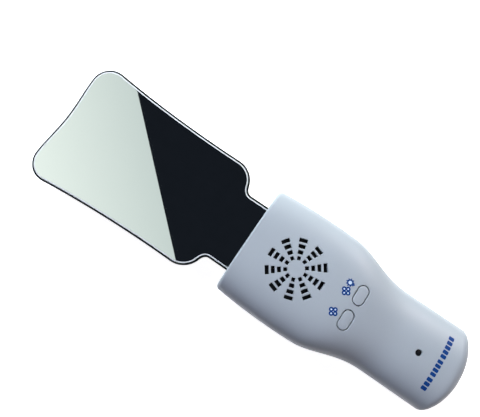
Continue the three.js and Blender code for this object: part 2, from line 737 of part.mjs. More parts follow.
// A key cap with a flange that holds it under the shell and a stem down to the switch.
function makeButton(side) {
  const bevel = 0.3;
  const topZ = 28.15;
  const rootZ = 25;
  const cap = new THREE.ExtrudeGeometry(buttonOutline(side, 0), {
    depth: topZ - rootZ - bevel,
    bevelThickness: bevel,
    bevelSize: bevel,
    bevelOffset: -bevel,
    bevelSegments: 2,
    curveSegments: 6,
  }).rotateZ(Math.PI / 2).translate(0, 0, rootZ);
  const flange = buttonPrism(side, 1, rootZ - 0.8, rootZ + 0.2);
  const stem = post(BUTTON_X, side * BUTTON_Y, 1.6, SWITCH_LOW + 5, rootZ - 0.4, 20);
  return toGeometry(join(toSolid(cap), toSolid(flange), toSolid(stem)));
}

// A reversible charging socket: an obround can with a contact tongue.
function makeChargeSocket() {
  const backX = TAIL_X - 7.8;
  const mouthX = TAIL_X - 0.6;
  const sheet = 0.35;
  const outside = obround(0, SOCKET_Z, SOCKET_LENGTH, SOCKET_HEIGHT);
  const inside = obround(0, SOCKET_Z, SOCKET_LENGTH - 2 * sheet, SOCKET_HEIGHT - 2 * sheet);
  const can = toSolid(prismAlongX(outside, backX, mouthX, 6));
  const hollow = toSolid(prismAlongX(inside, backX + 1, mouthX + 2, 6));
  const tongue = toSolid(
    block(backX + 0.5, mouthX - 1, -3.3, 3.3, SOCKET_Z - sheet, SOCKET_Z + sheet),
  );
  return toGeometry(join(cut(can, hollow), tongue));
}

function makeBattery() {
  const outline = rectangle(
    BATTERY_START_X, BATTERY_END_X, -BATTERY_HALF_WIDTH, BATTERY_HALF_WIDTH,
  );
  const bevel = 1;
  return new THREE.ExtrudeGeometry(outline, {
    depth: BATTERY_HEIGHT - 2 * bevel,
    bevelThickness: bevel,
    bevelSize: bevel,
    bevelOffset: -bevel,
    bevelSegments: 3,
  }).translate(0, 0, BATTERY_LOW_Z + bevel);
}

// ---- Screws --------------------------------------------------------------------------------
// A pan-head screw with a cross recess, head down at z = 0 and shank up to the given length.
function makeScrew({ headRadius, headHeight, shankRadius, length }) {
  const profile = [
    [0, 0],
    [headRadius - 0.4, 0],
    [headRadius, 0.5],
    [headRadius, headHeight],
    [shankRadius, headHeight],
    [shankRadius, length - 0.8],
    [0, length],
  ].map(([r, z]) => new THREE.Vector2(r, z));
  const body = toSolid(new THREE.LatheGeometry(profile, 12).rotateX(Math.PI / 2));
  const reach = headRadius * 0.6;
  const half = 0.25;
  const depth = headHeight * 0.55;
  const recess = [
    toSolid(block(-reach, reach, -half, half, -1, depth)),
    toSolid(block(-half, half, -reach, reach, -1, depth)),
  ];
  return toGeometry(cut(body, ...recess));
}

// ---- Assembly ------------------------------------------------------------------------------
const assembly = new THREE.Group();

function addTo(parent, name, geometry, material) {
  const mesh = new THREE.Mesh(geometry, material());
  mesh.name = name;
  parent.add(mesh);
  return mesh;
}

function addHousing() {
  const housing = new THREE.Group();
  addTo(housing, 'top_shell', makeTopShell(), FINISHES.shell);
  addTo(housing, 'bottom_shell', makeBottomShell(), FINISHES.shell);
  addTo(housing, 'front_bezel', makeFrontBezel(), FINISHES.bezel);
  HOUSING_SCREWS.forEach(([place, x, y]) => {
    const screw = addTo(housing, `housing_screw_${place}`, makeScrew(HOUSING_SCREW), FINISHES.steel);
    screw.position.set(x, y, HOUSING_SEAT_Z - GAP - HOUSING_SCREW.headHeight);
  });
  assembly.add(housing);
}

function addMirror() {
  const holder = new THREE.Group();
  addTo(holder, 'mirror_plate', makeMirrorPlate(), FINISHES.mirror);
  addTo(holder, 'mirror_tray', makeMirrorTray(), FINISHES.naturalPlastic);
  addTo(holder, 'mirror_spring_left', makeMirrorSpring(1), FINISHES.springSteel);
  addTo(holder, 'mirror_spring_right', makeMirrorSpring(-1), FINISHES.springSteel);
  assembly.add(holder);
}

function addBlower() {
  const blower = new THREE.Group();
  addTo(blower, 'air_duct', makeAirDuct(), FINISHES.darkPlastic);
  addTo(blower, 'blower_base', makeBlowerBase(), FINISHES.darkPlastic);
  addTo(blower, 'blower_cover', makeBlowerCover(), FINISHES.darkPlastic);
  const floorZ = BLOWER_FLOOR_Z + BLOWER_PLATE + GAP;
  const board = ring(FAN_X, 0, 3.3, 7.4, floorZ, floorZ + 0.6, 20);
  const sleeve = ring(FAN_X, 0, 1.05, 1.9, floorZ + 0.1, STATOR_HIGH_Z - GAP, 16);
  const capZ = HUB_HIGH_Z - HUB_CAP - GAP;
  const magnet = ring(FAN_X, 0, 6.7, HUB_INNER_RADIUS - GAP, STATOR_LOW_Z, capZ, 24);
  addTo(blower, 'motor_board', board, FINISHES.board);
  addTo(blower, 'stator', makeStator(), FINISHES.copper);
  addTo(blower, 'bearing_sleeve', sleeve, FINISHES.bronze);
  addTo(blower, 'rotor_shaft', post(FAN_X, 0, 0.75, floorZ + 0.2, capZ, 16), FINISHES.steel);
  addTo(blower, 'rotor_magnet', magnet, FINISHES.magnet);
  addTo(blower, 'impeller', makeImpeller(), FINISHES.darkPlastic);
  BLOWER_SCREWS.forEach(([place, x, y]) => {
    const screw = addTo(blower, `blower_screw_${place}`, makeScrew(BLOWER_SCREW), FINISHES.steel);
    screw.rotation.x = Math.PI;
    screw.position.set(x, y, BLOWER_FLOOR_Z + BLOWER_EAR + GAP + BLOWER_SCREW.headHeight);
  });
  assembly.add(blower);
}

function addLamps() {
  const lamps = new THREE.Group();
  [['left', 1], ['right', -1]].forEach(([place, side]) => {
    addTo(lamps, `lamp_${place}`, makeLamp(side), FINISHES.lens);
    addTo(lamps, `lamp_board_${place}`, makeLampBoard(side), FINISHES.whiteBoard);
    const route = [
      [7, side * LAMP_Y, 17],
      [10.5, side * 20.9, 18.5],
      [18.5, side * 20.7, 19.5],
      [28.5, side * 21.2, 19.6],
      [36.5, side * 19.6, 19.6],
      [43, side * 15.6, 19.6],
      [47.5, side * 11.5, 19.4],
      [51.1, side * 9.2, 18.7],
    ];
    addTo(lamps, `lamp_lead_${place}`, lead(route, LEAD_RADIUS, 14), FINISHES.redWire);
  });
  assembly.add(lamps);
}

function addElectronics() {
  const electronics = new THREE.Group();
  addTo(electronics, 'circuit_board', makeCircuitBoard(), FINISHES.board);
  const chip = block(71.5, 77.5, -3, 3, SWITCH_LOW, SWITCH_LOW + 1.2);
  addTo(electronics, 'controller_chip', chip, FINISHES.darkPlastic);
  [['fan', -1], ['fan_light', 1]].forEach(([place, side]) => {
    addTo(electronics, `${place}_switch`, makeSwitch(side), FINISHES.darkPlastic);
    addTo(electronics, `${place}_plunger`, makePlunger(side), FINISHES.darkPlastic);
    addTo(electronics, `${place}_button`, makeButton(side), FINISHES.button);
  });
  const diode = block(INDICATOR_X - 1, INDICATOR_X + 1, -0.65, 0.65, SWITCH_LOW, SWITCH_LOW + 0.8);
  addTo(electronics, 'indicator_diode', diode, FINISHES.lens);
  const pipe = post(INDICATOR_X, 0, INDICATOR_RADIUS - GAP, SWITCH_LOW + 1.1, 25.2, 24);
  addTo(electronics, 'light_pipe', pipe, FINISHES.smoke);
  addTo(electronics, 'charge_socket', makeChargeSocket(), FINISHES.steel);
  const plug = block(49.7, 53.9, -4, 4, 11.2, BOARD_Z - GAP);
  addTo(electronics, 'battery_connector', plug, FINISHES.naturalPlastic);
  const fanRoute = [[45.4, 0, 17.2], [47.1, 0, 18], [48.9, 0, 18.9], [51.3, 0, 18.7]];
  addTo(electronics, 'fan_lead', lead(fanRoute, LEAD_RADIUS, 7), FINISHES.blackWire);
  assembly.add(electronics);
}

function addPower() {
  const power = new THREE.Group();
  addTo(power, 'battery_cell', makeBattery(), FINISHES.foil);
  const pad = block(65.5, 97.5, -10, 10, WALL + GAP, BATTERY_LOW_Z - GAP);
  addTo(power, 'battery_pad', pad, FINISHES.foam);
  const route = [[56.8, 9, 10], [55.5, 8.8, 10], [53.5, 6.6, 9.9], [52.1, 3.6, 9.9], [51.8, 1.5, 10]];
  addTo(power, 'battery_lead', lead(route, LEAD_RADIUS, 10), FINISHES.redWire);
  assembly.add(power);
}

function addBoardScrews() {
  BOARD_SCREWS.forEach(([place, x, y]) => {
    const screw = addTo(assembly, `board_screw_${place}`, makeScrew(BOARD_SCREW), FINISHES.steel);
    screw.position.set(x, y, BOARD_Z - GAP - BOARD_SCREW.headHeight);
  });
}

addHousing();
addMirror();
addBlower();
addLamps();
addElectronics();
addPower();
addBoardScrews();

export default assembly;
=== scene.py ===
"""Looks for a fog-free intraoral photography mirror: a glass blade in a moulded blower handle.

Sizes are in millimetres, in the CAD frame: +X from the mirror's tip to the handle's tail, +Z up,
underside on z = 0. Meshes are scaled to metres as they are made.
"""

import math

import bmesh
import bpy
from mathutils import Matrix, Vector


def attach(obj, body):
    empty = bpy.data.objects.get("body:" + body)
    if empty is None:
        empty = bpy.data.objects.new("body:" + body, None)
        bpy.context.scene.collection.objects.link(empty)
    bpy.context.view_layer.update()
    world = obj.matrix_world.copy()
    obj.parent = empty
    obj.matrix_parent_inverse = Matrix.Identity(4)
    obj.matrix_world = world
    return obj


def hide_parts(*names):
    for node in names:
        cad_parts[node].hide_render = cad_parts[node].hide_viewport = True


MM = 0.001

# ---- Handle form, as in the CAD -------------------------------------------------------------
FRONT_X = 0.2
TAIL_X = 118.4
PARTING_Z = 14.5
GAP = 0.3
WALL = 2.0
SEAM_LIP = 0.18
HEAD_HALF_WIDTH = 30.0
HEAD_WIDEST_X = 28.5
HEAD_SIDE_CURVE = 0.001686
GRIP_HALF_WIDTH = 21.85
HEAD_CROWN = 14.5
GRIP_CROWN = 11.2
HEAD_SQUARENESS = 3.4
GRIP_SQUARENESS = 2.5
WAIST_START_X = 44.5
WAIST_END_X = 79.5
CROWN_FALL_SHIFT = 6.0
TAIL_ROUND_X = 109.9
TAIL_PLAN_POWER = 1.7
TAIL_SIDE_POWER = 2.6
UNDERSIDE_DEPTH = 14.5
UNDERSIDE_SQUARENESS = 4.0
UNDERSIDE_BULGE = 0.5
FRONT_CORNER_RADIUS = 2.0
FRONT_RIM_RADIUS = 0.8
TONGUE_INSETS = (WALL + 0.1, WALL + 0.9)
TONGUE_HEIGHT = 0.9
TONGUE_ROOT_DEPTH = 1.2
TONGUE_START_X = (4.4, 4.8)
SECTION_STEPS = 116
SHELL_SHARP_DEGREES = 24

# ---- Openings, keys and fasteners -----------------------------------------------------------
FAN_X = 26.7
GRILLE_RAYS = 10
GRILLE_RADII = (5.08, 7.93, 10.78, 13.65)
GRILLE_WIDTHS = (1.75, 2.55, 3.35, 4.15)
GRILLE_SLOT_DEPTH = 1.85
GRILLE_CORNER_RADIUS = 0.12
GRILLE_CUT_Z = 25.5
GRILLE_LIP = 0.08
BUTTON_X = 57.9
BUTTON_Y = 6.6
BUTTON_LENGTH = 9.5
BUTTON_WIDTH = 5.1
KEY_HOLE_GROW = 0.42
KEY_CUT_Z = 25.3
KEY_LIP = 0.06
KEY_CAP_GROW = -0.05
KEY_SINK = 0.02
KEY_EDGE_RADIUS = 0.08
KEY_FLANGE = ((0.8, 24.2), (1.0, 24.4), (1.0, 25.0), (0.8, 25.2), (0.0, 25.2))
KEY_DOME = ((-0.9, 0.02), (-1.6, 0.04), (-2.1, 0.05), (-2.4, 0.05))
KEY_STEM_RADIUS = 1.6
KEY_STEM_Z = (22.9, 24.3)
INDICATOR_X = 93.9
INDICATOR_RADIUS = 1.6
INDICATOR_GAP = 0.08
INDICATOR_CUT_Z = 22.5
INDICATOR_LIP = 0.12
INDICATOR_LOW_Z = 19.0
INDICATOR_DOME_Z = 24.8
INDICATOR_DOME_RISE = 0.5
SOCKET_Z = 14.1
SOCKET_HOLE_LENGTH = 9.9
SOCKET_HOLE_HEIGHT = 4.2
SOCKET_CUT_X = (TAIL_X - 7, TAIL_X + 3)
HOUSING_SCREWS = ((39.5, 22.5), (39.5, -22.5), (108.0, 12.5), (108.0, -12.5))
COUNTERBORE_RADIUS = 2.5
COUNTERBORE_TOP_Z = 8.0
COUNTERBORE_LIP = 0.3
BOSS_BORE_RADIUS = 1.4
TOP_BOSS_RADIUS = 2.8
BOTTOM_BOSS_RADIUS = 3.4
BOSS_ROOT_DEPTH = 1.0
LIP_DEGREES = (20, 40, 56, 70)
LIP_FLARE = 1.65
CUTTER_RISE = 0.6

# ---- Mirror blade and lamps -----------------------------------------------------------------
MIRROR_TOP_Z = 13.0
MIRROR_THICKNESS = 3.0
TANG_HALF_WIDTH = 19.2
TANG_END_X = 25.5
TANG_CORNER = 1.5
NECK_X = -10.9
NECK_BENDS = ((-12.6, TANG_HALF_WIDTH), (-13.9, 20.4))
SHOULDER_START = (-14.7, 22.5)
SHOULDER_CENTRE = (-26.3, 19.45)
SHOULDER_RADIUS = 12.0
SHOULDER_TURN = 0.27
SIDE_BENDS = ((-56.5, 31.2), (-86.5, 33.2))
TIP_CORNER_CENTRE = (-107.5, 24.7)
TIP_CORNER_RADIUS = 10.9
TIP_CORNER_TURN = math.pi / 2 - 0.12
TIP_X = -118.4
TIP_HOLLOW = 1.5
TIP_BENDS_Y = (16.0, 10.0)
LAMP_Y = 21.7
LAMP_Z = 18.3
LAMP_RADIUS = 2.5
LAMP_BASE_X = 4.6
LAMP_FLANGE = 0.1
LAMP_SIDE = 1.6
LAMP_CUP = ((1.5, 0.9), (0.7, 0.4), (0.7, 0.15), (1.6, 0.15))
LAMP_DIE_HALF = 0.5
LAMP_DIE_REACH = (0.42, 0.62)

# ---- Prints on the top shell ----------------------------------------------------------------
PRINT_LIFT = 0.02
FAN_ICONS = ((51.06, -6.55), (51.06, 4.55))
FAN_ICON_TURN = math.radians(-15.6)
PETAL_REACH = 1.26
PETAL_SIZE = (1.14, 1.12)
PETAL_HOLE = (0.42, 0.38)
HUB_RADII = (0.8, 0.26)
LIGHT_ICON = (50.64, 8.8)
LIGHT_RADII = (1.56, 0.84)
LIGHT_RAYS = 9
LIGHT_RAY_REACH = 1.65
LIGHT_RAY_HALF = (0.36, 0.24)
LIGHT_FOOT_REACH = 1.95
LIGHT_FOOT_RADIUS = 0.45
MARK_X = (102.55, 105.2)
MARK_GROUPS = ((-12.7, -6.3, 3), (-5.2, 2.9, 4), (4.0, 14.8, 5))
MARK_SPACE = 0.5
MARK_STRIPS = 6
MARK_CORNER = 0.15

# ---- Camera and studio ----------------------------------------------------------------------
CAMERA_PLACE = (6.0, -13.75, 214.0)
CAMERA_FORWARD = (-0.08936, 0.11998, -0.98875)
CAMERA_UP = (-0.55687, 0.81704, 0.14947)
CAMERA_LENS = 29.63
FLOOR_REACH = 6000.0
BACKDROP_RADIUS = 5900.0
BACKDROP_TOP_Z = 5000.0
DOME_RADIUS = 2500.0
PANEL_Z = 600.0
# Where the mirror shows the edge between the pale panel and the dark card, at the panel's height
PANEL_EDGE = ((-388.5, 168.6), (-116.9, -71.0))
PANEL_OVERHANGS = (130.0, 90.0)
PANEL_DEPTH = 330.0
PANEL_FADE = 300.0
CARD_OVERHANGS = (60.0, 40.0)
CARD_END_X = 40.0
CARD_END_Y = (-130.0, 228.6)
LIGHT_AIM = (0.05, 0.0, 0.02)


# ---- Small sums -----------------------------------------------------------------------------
def lerp(a, b, share):
    return a + (b - a) * share


def smooth(x, start, end):
    share = min(max((x - start) / (end - start), 0.0), 1.0)
    return share * share * (3.0 - 2.0 * share)


def edge_inset(distance, radius):
    """How far an edge of this radius draws in at a distance behind the front rim."""
    left = max(radius - distance, 0.0)
    return radius - math.sqrt(max(radius**2 - left**2, 0.0))


# ---- Mesh tools -----------------------------------------------------------------------------
def new_object(name):
    made = bpy.data.objects.new(name, bpy.data.meshes.new(name))
    bpy.context.scene.collection.objects.link(made)
    return made


def new_piece(name, body, materials, replaces=()):
    """An empty mesh object that rides on a body and stands for CAD nodes."""
    piece = new_object(name)
    for material in materials:
        piece.data.materials.append(material)
    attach(piece, body)
    if replaces:
        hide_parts(*replaces)
    return piece


def fill_mesh(piece, bm, sharp_degrees=30.0):
    """Puts a bmesh made in millimetres into the piece, in metres and shaded smooth."""
    bmesh.ops.scale(bm, vec=(MM, MM, MM), verts=bm.verts)
    for face in bm.faces:
        face.smooth = True
    bm.to_mesh(piece.data)
    bm.free()
    piece.data.set_sharp_from_angle(angle=math.radians(sharp_degrees))


def add_rings(bm, rings, cap_first=True, cap_last=True, materials=None):
    """Skins closed rings of equal length; materials gives each band's slot."""
    rows = [[bm.verts.new(point) for point in ring] for ring in rings]
    count = len(rows[0])
    for band, (low, high) in enumerate(zip(rows, rows[1:])):
        for j in range(count):
            k = (j + 1) % count
            face = bm.faces.new((low[j], low[k], high[k], high[j]))
            face.material_index = materials[band] if materials else 0
    if cap_first:
        bm.faces.new(rows[0][::-1]).material_index = materials[0] if materials else 0
    if cap_last:
        bm.faces.new(rows[-1]).material_index = materials[-1] if materials else 0
    return rows


def make_tool(adder):
    """A throwaway object that holds what the adder puts into a bmesh."""
    bm = bmesh.new()
    adder(bm)
    bmesh.ops.recalc_face_normals(bm, faces=bm.faces)
    tool = new_object("tool")
    fill_mesh(tool, bm)
    return tool


def carve(piece, tool, operation):
    """Applies one boolean to the piece and removes the tool."""
    boolean = piece.modifiers.new("Carve", "BOOLEAN")
    boolean.operation = operation
    boolean.solver = "MANIFOLD"
    boolean.object = tool
    bpy.context.view_layer.update()
    graph = bpy.context.evaluated_depsgraph_get()
    carved = bpy.data.meshes.new_from_object(piece.evaluated_get(graph), depsgraph=graph)
    piece.modifiers.clear()
    piece.data = carved
    bpy.data.objects.remove(tool)


def finish_carved(piece):
    """Smooth shading on a carved shell, kept sharp at its openings."""
    for polygon in piece.data.polygons:
        polygon.use_smooth = True
    piece.data.set_sharp_from_angle(angle=math.radians(SHELL_SHARP_DEGREES))
    weighted = piece.modifiers.new("Weighted normals", "WEIGHTED_NORMAL")
    weighted.keep_sharp = True


# ---- Outlines -------------------------------------------------------------------------------
def placed(centre, turn, u, v=0.0):
    """The point u along and v across an axis that is turned about the centre."""
    x = centre[0] + u * math.cos(turn) - v * math.sin(turn)
    y = centre[1] + u * math.sin(turn) + v * math.cos(turn)
    return x, y


def rounded_box(centre, half, radius, turn=0.0, steps=6):
    """Points around a rounded rectangle; half is its half length and half width."""
    points = []
    for corner in range(4):
        side_u = 1 if corner in (0, 3) else -1
        side_v = 1 if corner in (0, 1) else -1
        for i in range(steps + 1):
            angle = math.pi / 2 * (corner + i / steps)
            u = side_u * (half[0] - radius) + radius * math.cos(angle)
            v = side_v * (half[1] - radius) + radius * math.sin(angle)
            point = placed(centre, turn, u, v)
            if not points or math.dist(points[-1], point) > 1e-6:
                points.append(point)
    if math.dist(points[0], points[-1]) < 1e-6:
        points.pop()
    return points


def oval(centre, turn, half_length, half_width):
    count = 28
    points = []
    for i in range(count):
        angle = 2 * math.pi * i / count
        u, v = half_length * math.cos(angle), half_width * math.sin(angle)
        points.append(placed(centre, turn, u, v))
    return points


def circle(centre, radius, count=48):
    return [placed(centre, 2 * math.pi * i / count, radius) for i in range(count)]


def arc(centre, radius, start, end, steps):
    return [placed(centre, lerp(start, end, i / steps), radius) for i in range(steps + 1)]


def bezier(a, b, c, d, steps):
    """Points of a cubic curve from just after a to d."""
    points = []
    for i in range(1, steps + 1):
        t = i / steps
        weights = ((1 - t) ** 3, 3 * t * (1 - t) ** 2, 3 * t * t * (1 - t), t**3)
        points.append(tuple(sum(w * p[k] for w, p in zip(weights, (a, b, c, d))) for k in (0, 1)))
    return points


def grille_outline(ray, level, grow):
    turn = 2 * math.pi * ray / GRILLE_RAYS
    centre = placed((FAN_X, 0.0), turn, GRILLE_RADII[level])
    half = (GRILLE_SLOT_DEPTH / 2 + grow, GRILLE_WIDTHS[level] / 2 + grow)
    return rounded_box(centre, half, GRILLE_CORNER_RADIUS + grow, turn, steps=3)


def button_outline(side, grow):
    half = (BUTTON_WIDTH / 2 + grow, BUTTON_LENGTH / 2 + grow)
    return rounded_box((BUTTON_X, side * BUTTON_Y), half, BUTTON_WIDTH / 2 + grow, steps=12)


# ---- Handle surface -------------------------------------------------------------------------
def body_half_width(x):
    head = HEAD_HALF_WIDTH - HEAD_SIDE_CURVE * (x - HEAD_WIDEST_X) ** 2
    return lerp(head, GRIP_HALF_WIDTH, smooth(x, WAIST_START_X, WAIST_END_X))


def crown_height(x):
    fall = smooth(x, WAIST_START_X + CROWN_FALL_SHIFT, WAIST_END_X + CROWN_FALL_SHIFT)
    return lerp(HEAD_CROWN, GRIP_CROWN, fall)


def crown_squareness(x):
    return lerp(HEAD_SQUARENESS, GRIP_SQUARENESS, smooth(x, WAIST_START_X, WAIST_END_X))


def section_sizes(x, inset=0.0):
    """Half width, rise and drop of the handle's section at x, drawn in by inset."""
    run = min(max(x - TAIL_ROUND_X, 0.0) / (TAIL_X - inset - TAIL_ROUND_X), 1.0)
    side_end = (1 - run**TAIL_PLAN_POWER) ** (1 / TAIL_PLAN_POWER)
    height_end = (1 - run**TAIL_SIDE_POWER) ** (1 / TAIL_SIDE_POWER)
    rim = edge_inset(x - FRONT_X, max(FRONT_RIM_RADIUS - inset, 0.0))
    corner = edge_inset(x - FRONT_X, max(FRONT_CORNER_RADIUS - inset, 0.0))
    half_width = (body_half_width(x) - inset) * side_end - corner
    rise = max((crown_height(x) - inset) * height_end - rim, GAP / 2)
    drop = (UNDERSIDE_DEPTH - inset) * height_end - rim
    return half_width, rise, drop


def top_z(x, y, inset=0.0):
    half_width, rise, _ = section_sizes(x, inset)
    power = crown_squareness(x)
    share = max(1 - (abs(y) / half_width) ** power, 0.0)
    return PARTING_Z + GAP / 2 + (rise - GAP / 2) * share ** (1 / power)


def underside_z(x, y, inset=0.0):
    half_width, _, drop = section_sizes(x, inset)
    share = max(1 - (abs(y) / half_width) ** UNDERSIDE_SQUARENESS, 0.0)
    depth = (drop + UNDERSIDE_BULGE) * share ** (1 / UNDERSIDE_SQUARENESS)
    return PARTING_Z - min(drop, depth)


def section_point(x, angle, inset, upper):
    """A point of one half shell's section; angle runs from 0 on +Y to pi on -Y."""
    half_width, rise, drop = section_sizes(x, inset)
    power = 2 / (crown_squareness(x) if upper else UNDERSIDE_SQUARENESS)
    c = math.cos(angle)
    s = max(math.sin(angle), 0.0)
    y = half_width * math.copysign(abs(c) ** power, c)
    half_gap = GAP / 2
    if upper:
        return Vector((x, y, PARTING_Z + half_gap + (rise - half_gap) * s**power))
    depth = half_gap + (drop + UNDERSIDE_BULGE - half_gap) * s**power
    return Vector((x, y, PARTING_Z - min(max(drop, half_gap), depth)))


def even_angles(count, upper):
    """Angles from 0 to pi that space the head's section evenly."""
    dense = 3000
    turns = [math.pi * i / dense for i in range(dense + 1)]
    points = [section_point(HEAD_WIDEST_X, turn, 0.0, upper) for turn in turns]
    reach = [0.0]
    for a, b in zip(points, points[1:]):
        reach.append(reach[-1] + (b - a).length)
    angles = []
    i = 0
    for step in range(count + 1):
        goal = reach[-1] * step / count
        while i < dense - 1 and reach[i + 1] < goal:
            i += 1
        angles.append(lerp(turns[i], turns[i + 1], (goal - reach[i]) / (reach[i + 1] - reach[i])))
    return angles


def shell_stations():
    """Places along X, close together on the front rim and on the round tail."""
    rim_steps, body_steps, tail_steps = 14, 120, 34
    rim_end = FRONT_X + FRONT_CORNER_RADIUS
    stations = []
    for i in range(rim_steps):
        swing = math.pi / 2 * i / rim_steps
        stations.append(FRONT_X + FRONT_CORNER_RADIUS * (1 - math.cos(swing)))
    for i in range(body_steps):
        stations.append(lerp(rim_end, TAIL_ROUND_X, i / body_steps))
    for i in range(tail_steps + 1):
        swing = math.pi / 2 * i / tail_steps
        stations.append(TAIL_ROUND_X + (TAIL_X - TAIL_ROUND_X) * math.sin(swing))
    return stations


def shell_section(station, angles, upper):
    """The closed section of one half shell: outside, lip, inside, lip. The bottom has a tongue."""
    share = (station - FRONT_X) / (TAIL_X - FRONT_X)
    away = 1 if upper else -1

    def at(angle, inset, off_seam=0.0):
        x = FRONT_X + (TAIL_X - inset - FRONT_X) * share
        return section_point(x, angle, inset, upper) + Vector((0, 0, away * off_seam))

    lip = [(0.0, SEAM_LIP), (SEAM_LIP * 0.3, SEAM_LIP * 0.3), (SEAM_LIP, 0.0)]
    inner_angles = angles
    if not upper:
        tall = TONGUE_HEIGHT * smooth(station, *TONGUE_START_X)
        near, far = TONGUE_INSETS
        lip += [(near, 0.0), (near, -tall), (far, -tall), (far, TONGUE_ROOT_DEPTH)]
        inner_angles = angles[3:-3]
    points = [at(angle, 0.0) for angle in angles[1:-1]]
    points += [at(math.pi, *step) for step in lip]
    points += [at(angle, WALL) for angle in reversed(inner_angles)]
    points += [at(0.0, *step) for step in reversed(lip)]
    return points


def add_half_shell(bm, upper):
    angles = even_angles(SECTION_STEPS, upper)
    rings = [shell_section(station, angles, upper) for station in shell_stations()]
    add_rings(bm, rings, cap_last=False)
    bmesh.ops.remove_doubles(bm, verts=bm.verts, dist=1e-4)


# ---- Shell openings -------------------------------------------------------------------------
def add_lipped_cutter(bm, outline, lip, inner_z, surface, out):
    """A cutter along Z whose mouth flares into a rounded lip that follows the surface.

    Past the lip it flares straight on, and then rises clear of the crowned surface.
    """
    profile = [(0.0, -lip)]
    for degrees in LIP_DEGREES:
        swing = math.radians(degrees)
        profile.append((lip * (1 - math.cos(swing)), -lip * (1 - math.sin(swing))))
    grow, height = profile[-1]
    grow += LIP_FLARE * lip * math.sin(swing)
    height += LIP_FLARE * lip * math.cos(swing)
    profile += [(grow, height), (grow, height + CUTTER_RISE)]
    rings = [[(x, y, inner_z) for x, y in outline(0.0)]]
    for grow, height in profile:
        rings.append([(x, y, surface(x, y) + out * height) for x, y in outline(grow)])
    add_rings(bm, rings)


def add_socket_cutter(bm):
    half = (SOCKET_HOLE_LENGTH / 2, SOCKET_HOLE_HEIGHT / 2)
    outline = rounded_box((0, SOCKET_Z), half, SOCKET_HOLE_HEIGHT / 2, steps=10)
    add_rings(bm, [[(x, y, z) for y, z in outline] for x in SOCKET_CUT_X])


def add_boss(bm, x, y, radius, seat_z, surface):
    """A screw boss from its seat to its root inside the wall, with a bore."""
    def seat(reach):
        return [(u, v, seat_z) for u, v in circle((x, y), reach, 32)]

    def root(reach):
        return [(u, v, surface(u, v, BOSS_ROOT_DEPTH)) for u, v in circle((x, y), reach, 32)]

    rings = [root(BOSS_BORE_RADIUS), root(radius), seat(radius), seat(BOSS_BORE_RADIUS)]
    rows = add_rings(bm, rings, cap_first=False, cap_last=False)
    first, last = rows[0], rows[-1]
    for j in range(len(first)):
        k = (j + 1) % len(first)
        bm.faces.new((last[j], last[k], first[k], first[j]))


def make_top_shell(material):
    piece = new_piece("shell_top", "handle", [material], ("top_shell",))
    bm = bmesh.new()
    add_half_shell(bm, upper=True)
    fill_mesh(piece, bm)

    def bosses(tool):
        for x, y in HOUSING_SCREWS:
            add_boss(tool, x, y, TOP_BOSS_RADIUS, PARTING_Z + GAP / 2, top_z)

    def openings(tool):
        for ray in range(GRILLE_RAYS):
            for level in range(len(GRILLE_RADII)):
                add_lipped_cutter(tool, lambda grow: grille_outline(ray, level, grow),
                                  GRILLE_LIP, GRILLE_CUT_Z, top_z, 1)
        for side in (-1, 1):
            add_lipped_cutter(tool, lambda grow: button_outline(side, KEY_HOLE_GROW + grow),
                              KEY_LIP, KEY_CUT_Z, top_z, 1)
        add_lipped_cutter(tool, lambda grow: circle((INDICATOR_X, 0), INDICATOR_RADIUS + grow),
                          INDICATOR_LIP, INDICATOR_CUT_Z, top_z, 1)

    carve(piece, make_tool(bosses), "UNION")
    carve(piece, make_tool(openings), "DIFFERENCE")
    carve(piece, make_tool(add_socket_cutter), "DIFFERENCE")
    finish_carved(piece)


def make_bottom_shell(material):
    piece = new_piece("shell_bottom", "handle", [material], ("bottom_shell",))
    bm = bmesh.new()
    add_half_shell(bm, upper=False)
    fill_mesh(piece, bm)

    def posts(tool):
        for x, y in HOUSING_SCREWS:
            add_boss(tool, x, y, BOTTOM_BOSS_RADIUS, PARTING_Z - GAP / 2, underside_z)

    def counterbores(tool):
        for x, y in HOUSING_SCREWS:
            add_lipped_cutter(tool, lambda grow: circle((x, y), COUNTERBORE_RADIUS + grow),
                              COUNTERBORE_LIP, COUNTERBORE_TOP_Z, underside_z, -1)

    carve(piece, make_tool(posts), "UNION")
    carve(piece, make_tool(counterbores), "DIFFERENCE")
    carve(piece, make_tool(add_socket_cutter), "DIFFERENCE")
    finish_carved(piece)


# ---- Keys and indicator ---------------------------------------------------------------------
def make_button(name, side, material):
    """A key cap that follows the shell just under its surface, with a flange and a stem."""
    piece = new_piece("key_cap_" + name, name + "_key", [material], (name + "_button",))
    rings = [[(x, y, z) for x, y in button_outline(side, grow)] for grow, z in KEY_FLANGE]
    profile = []
    for degrees in range(0, 91, 15):
        swing = math.radians(degrees)
        drop = KEY_EDGE_RADIUS * (1 - math.sin(swing))
        profile.append((-KEY_EDGE_RADIUS * (1 - math.cos(swing)), -drop))
    for grow, height in profile + list(KEY_DOME):
        outline = button_outline(side, KEY_CAP_GROW + grow)
        rings.append([(x, y, top_z(x, y) - KEY_SINK + height) for x, y in outline])
    bm = bmesh.new()
    add_rings(bm, rings)
    stem = circle((BUTTON_X, side * BUTTON_Y), KEY_STEM_RADIUS, 24)
    add_rings(bm, [[(x, y, z) for x, y in stem] for z in KEY_STEM_Z])
    bmesh.ops.recalc_face_normals(bm, faces=bm.faces)
    fill_mesh(piece, bm, sharp_degrees=40)


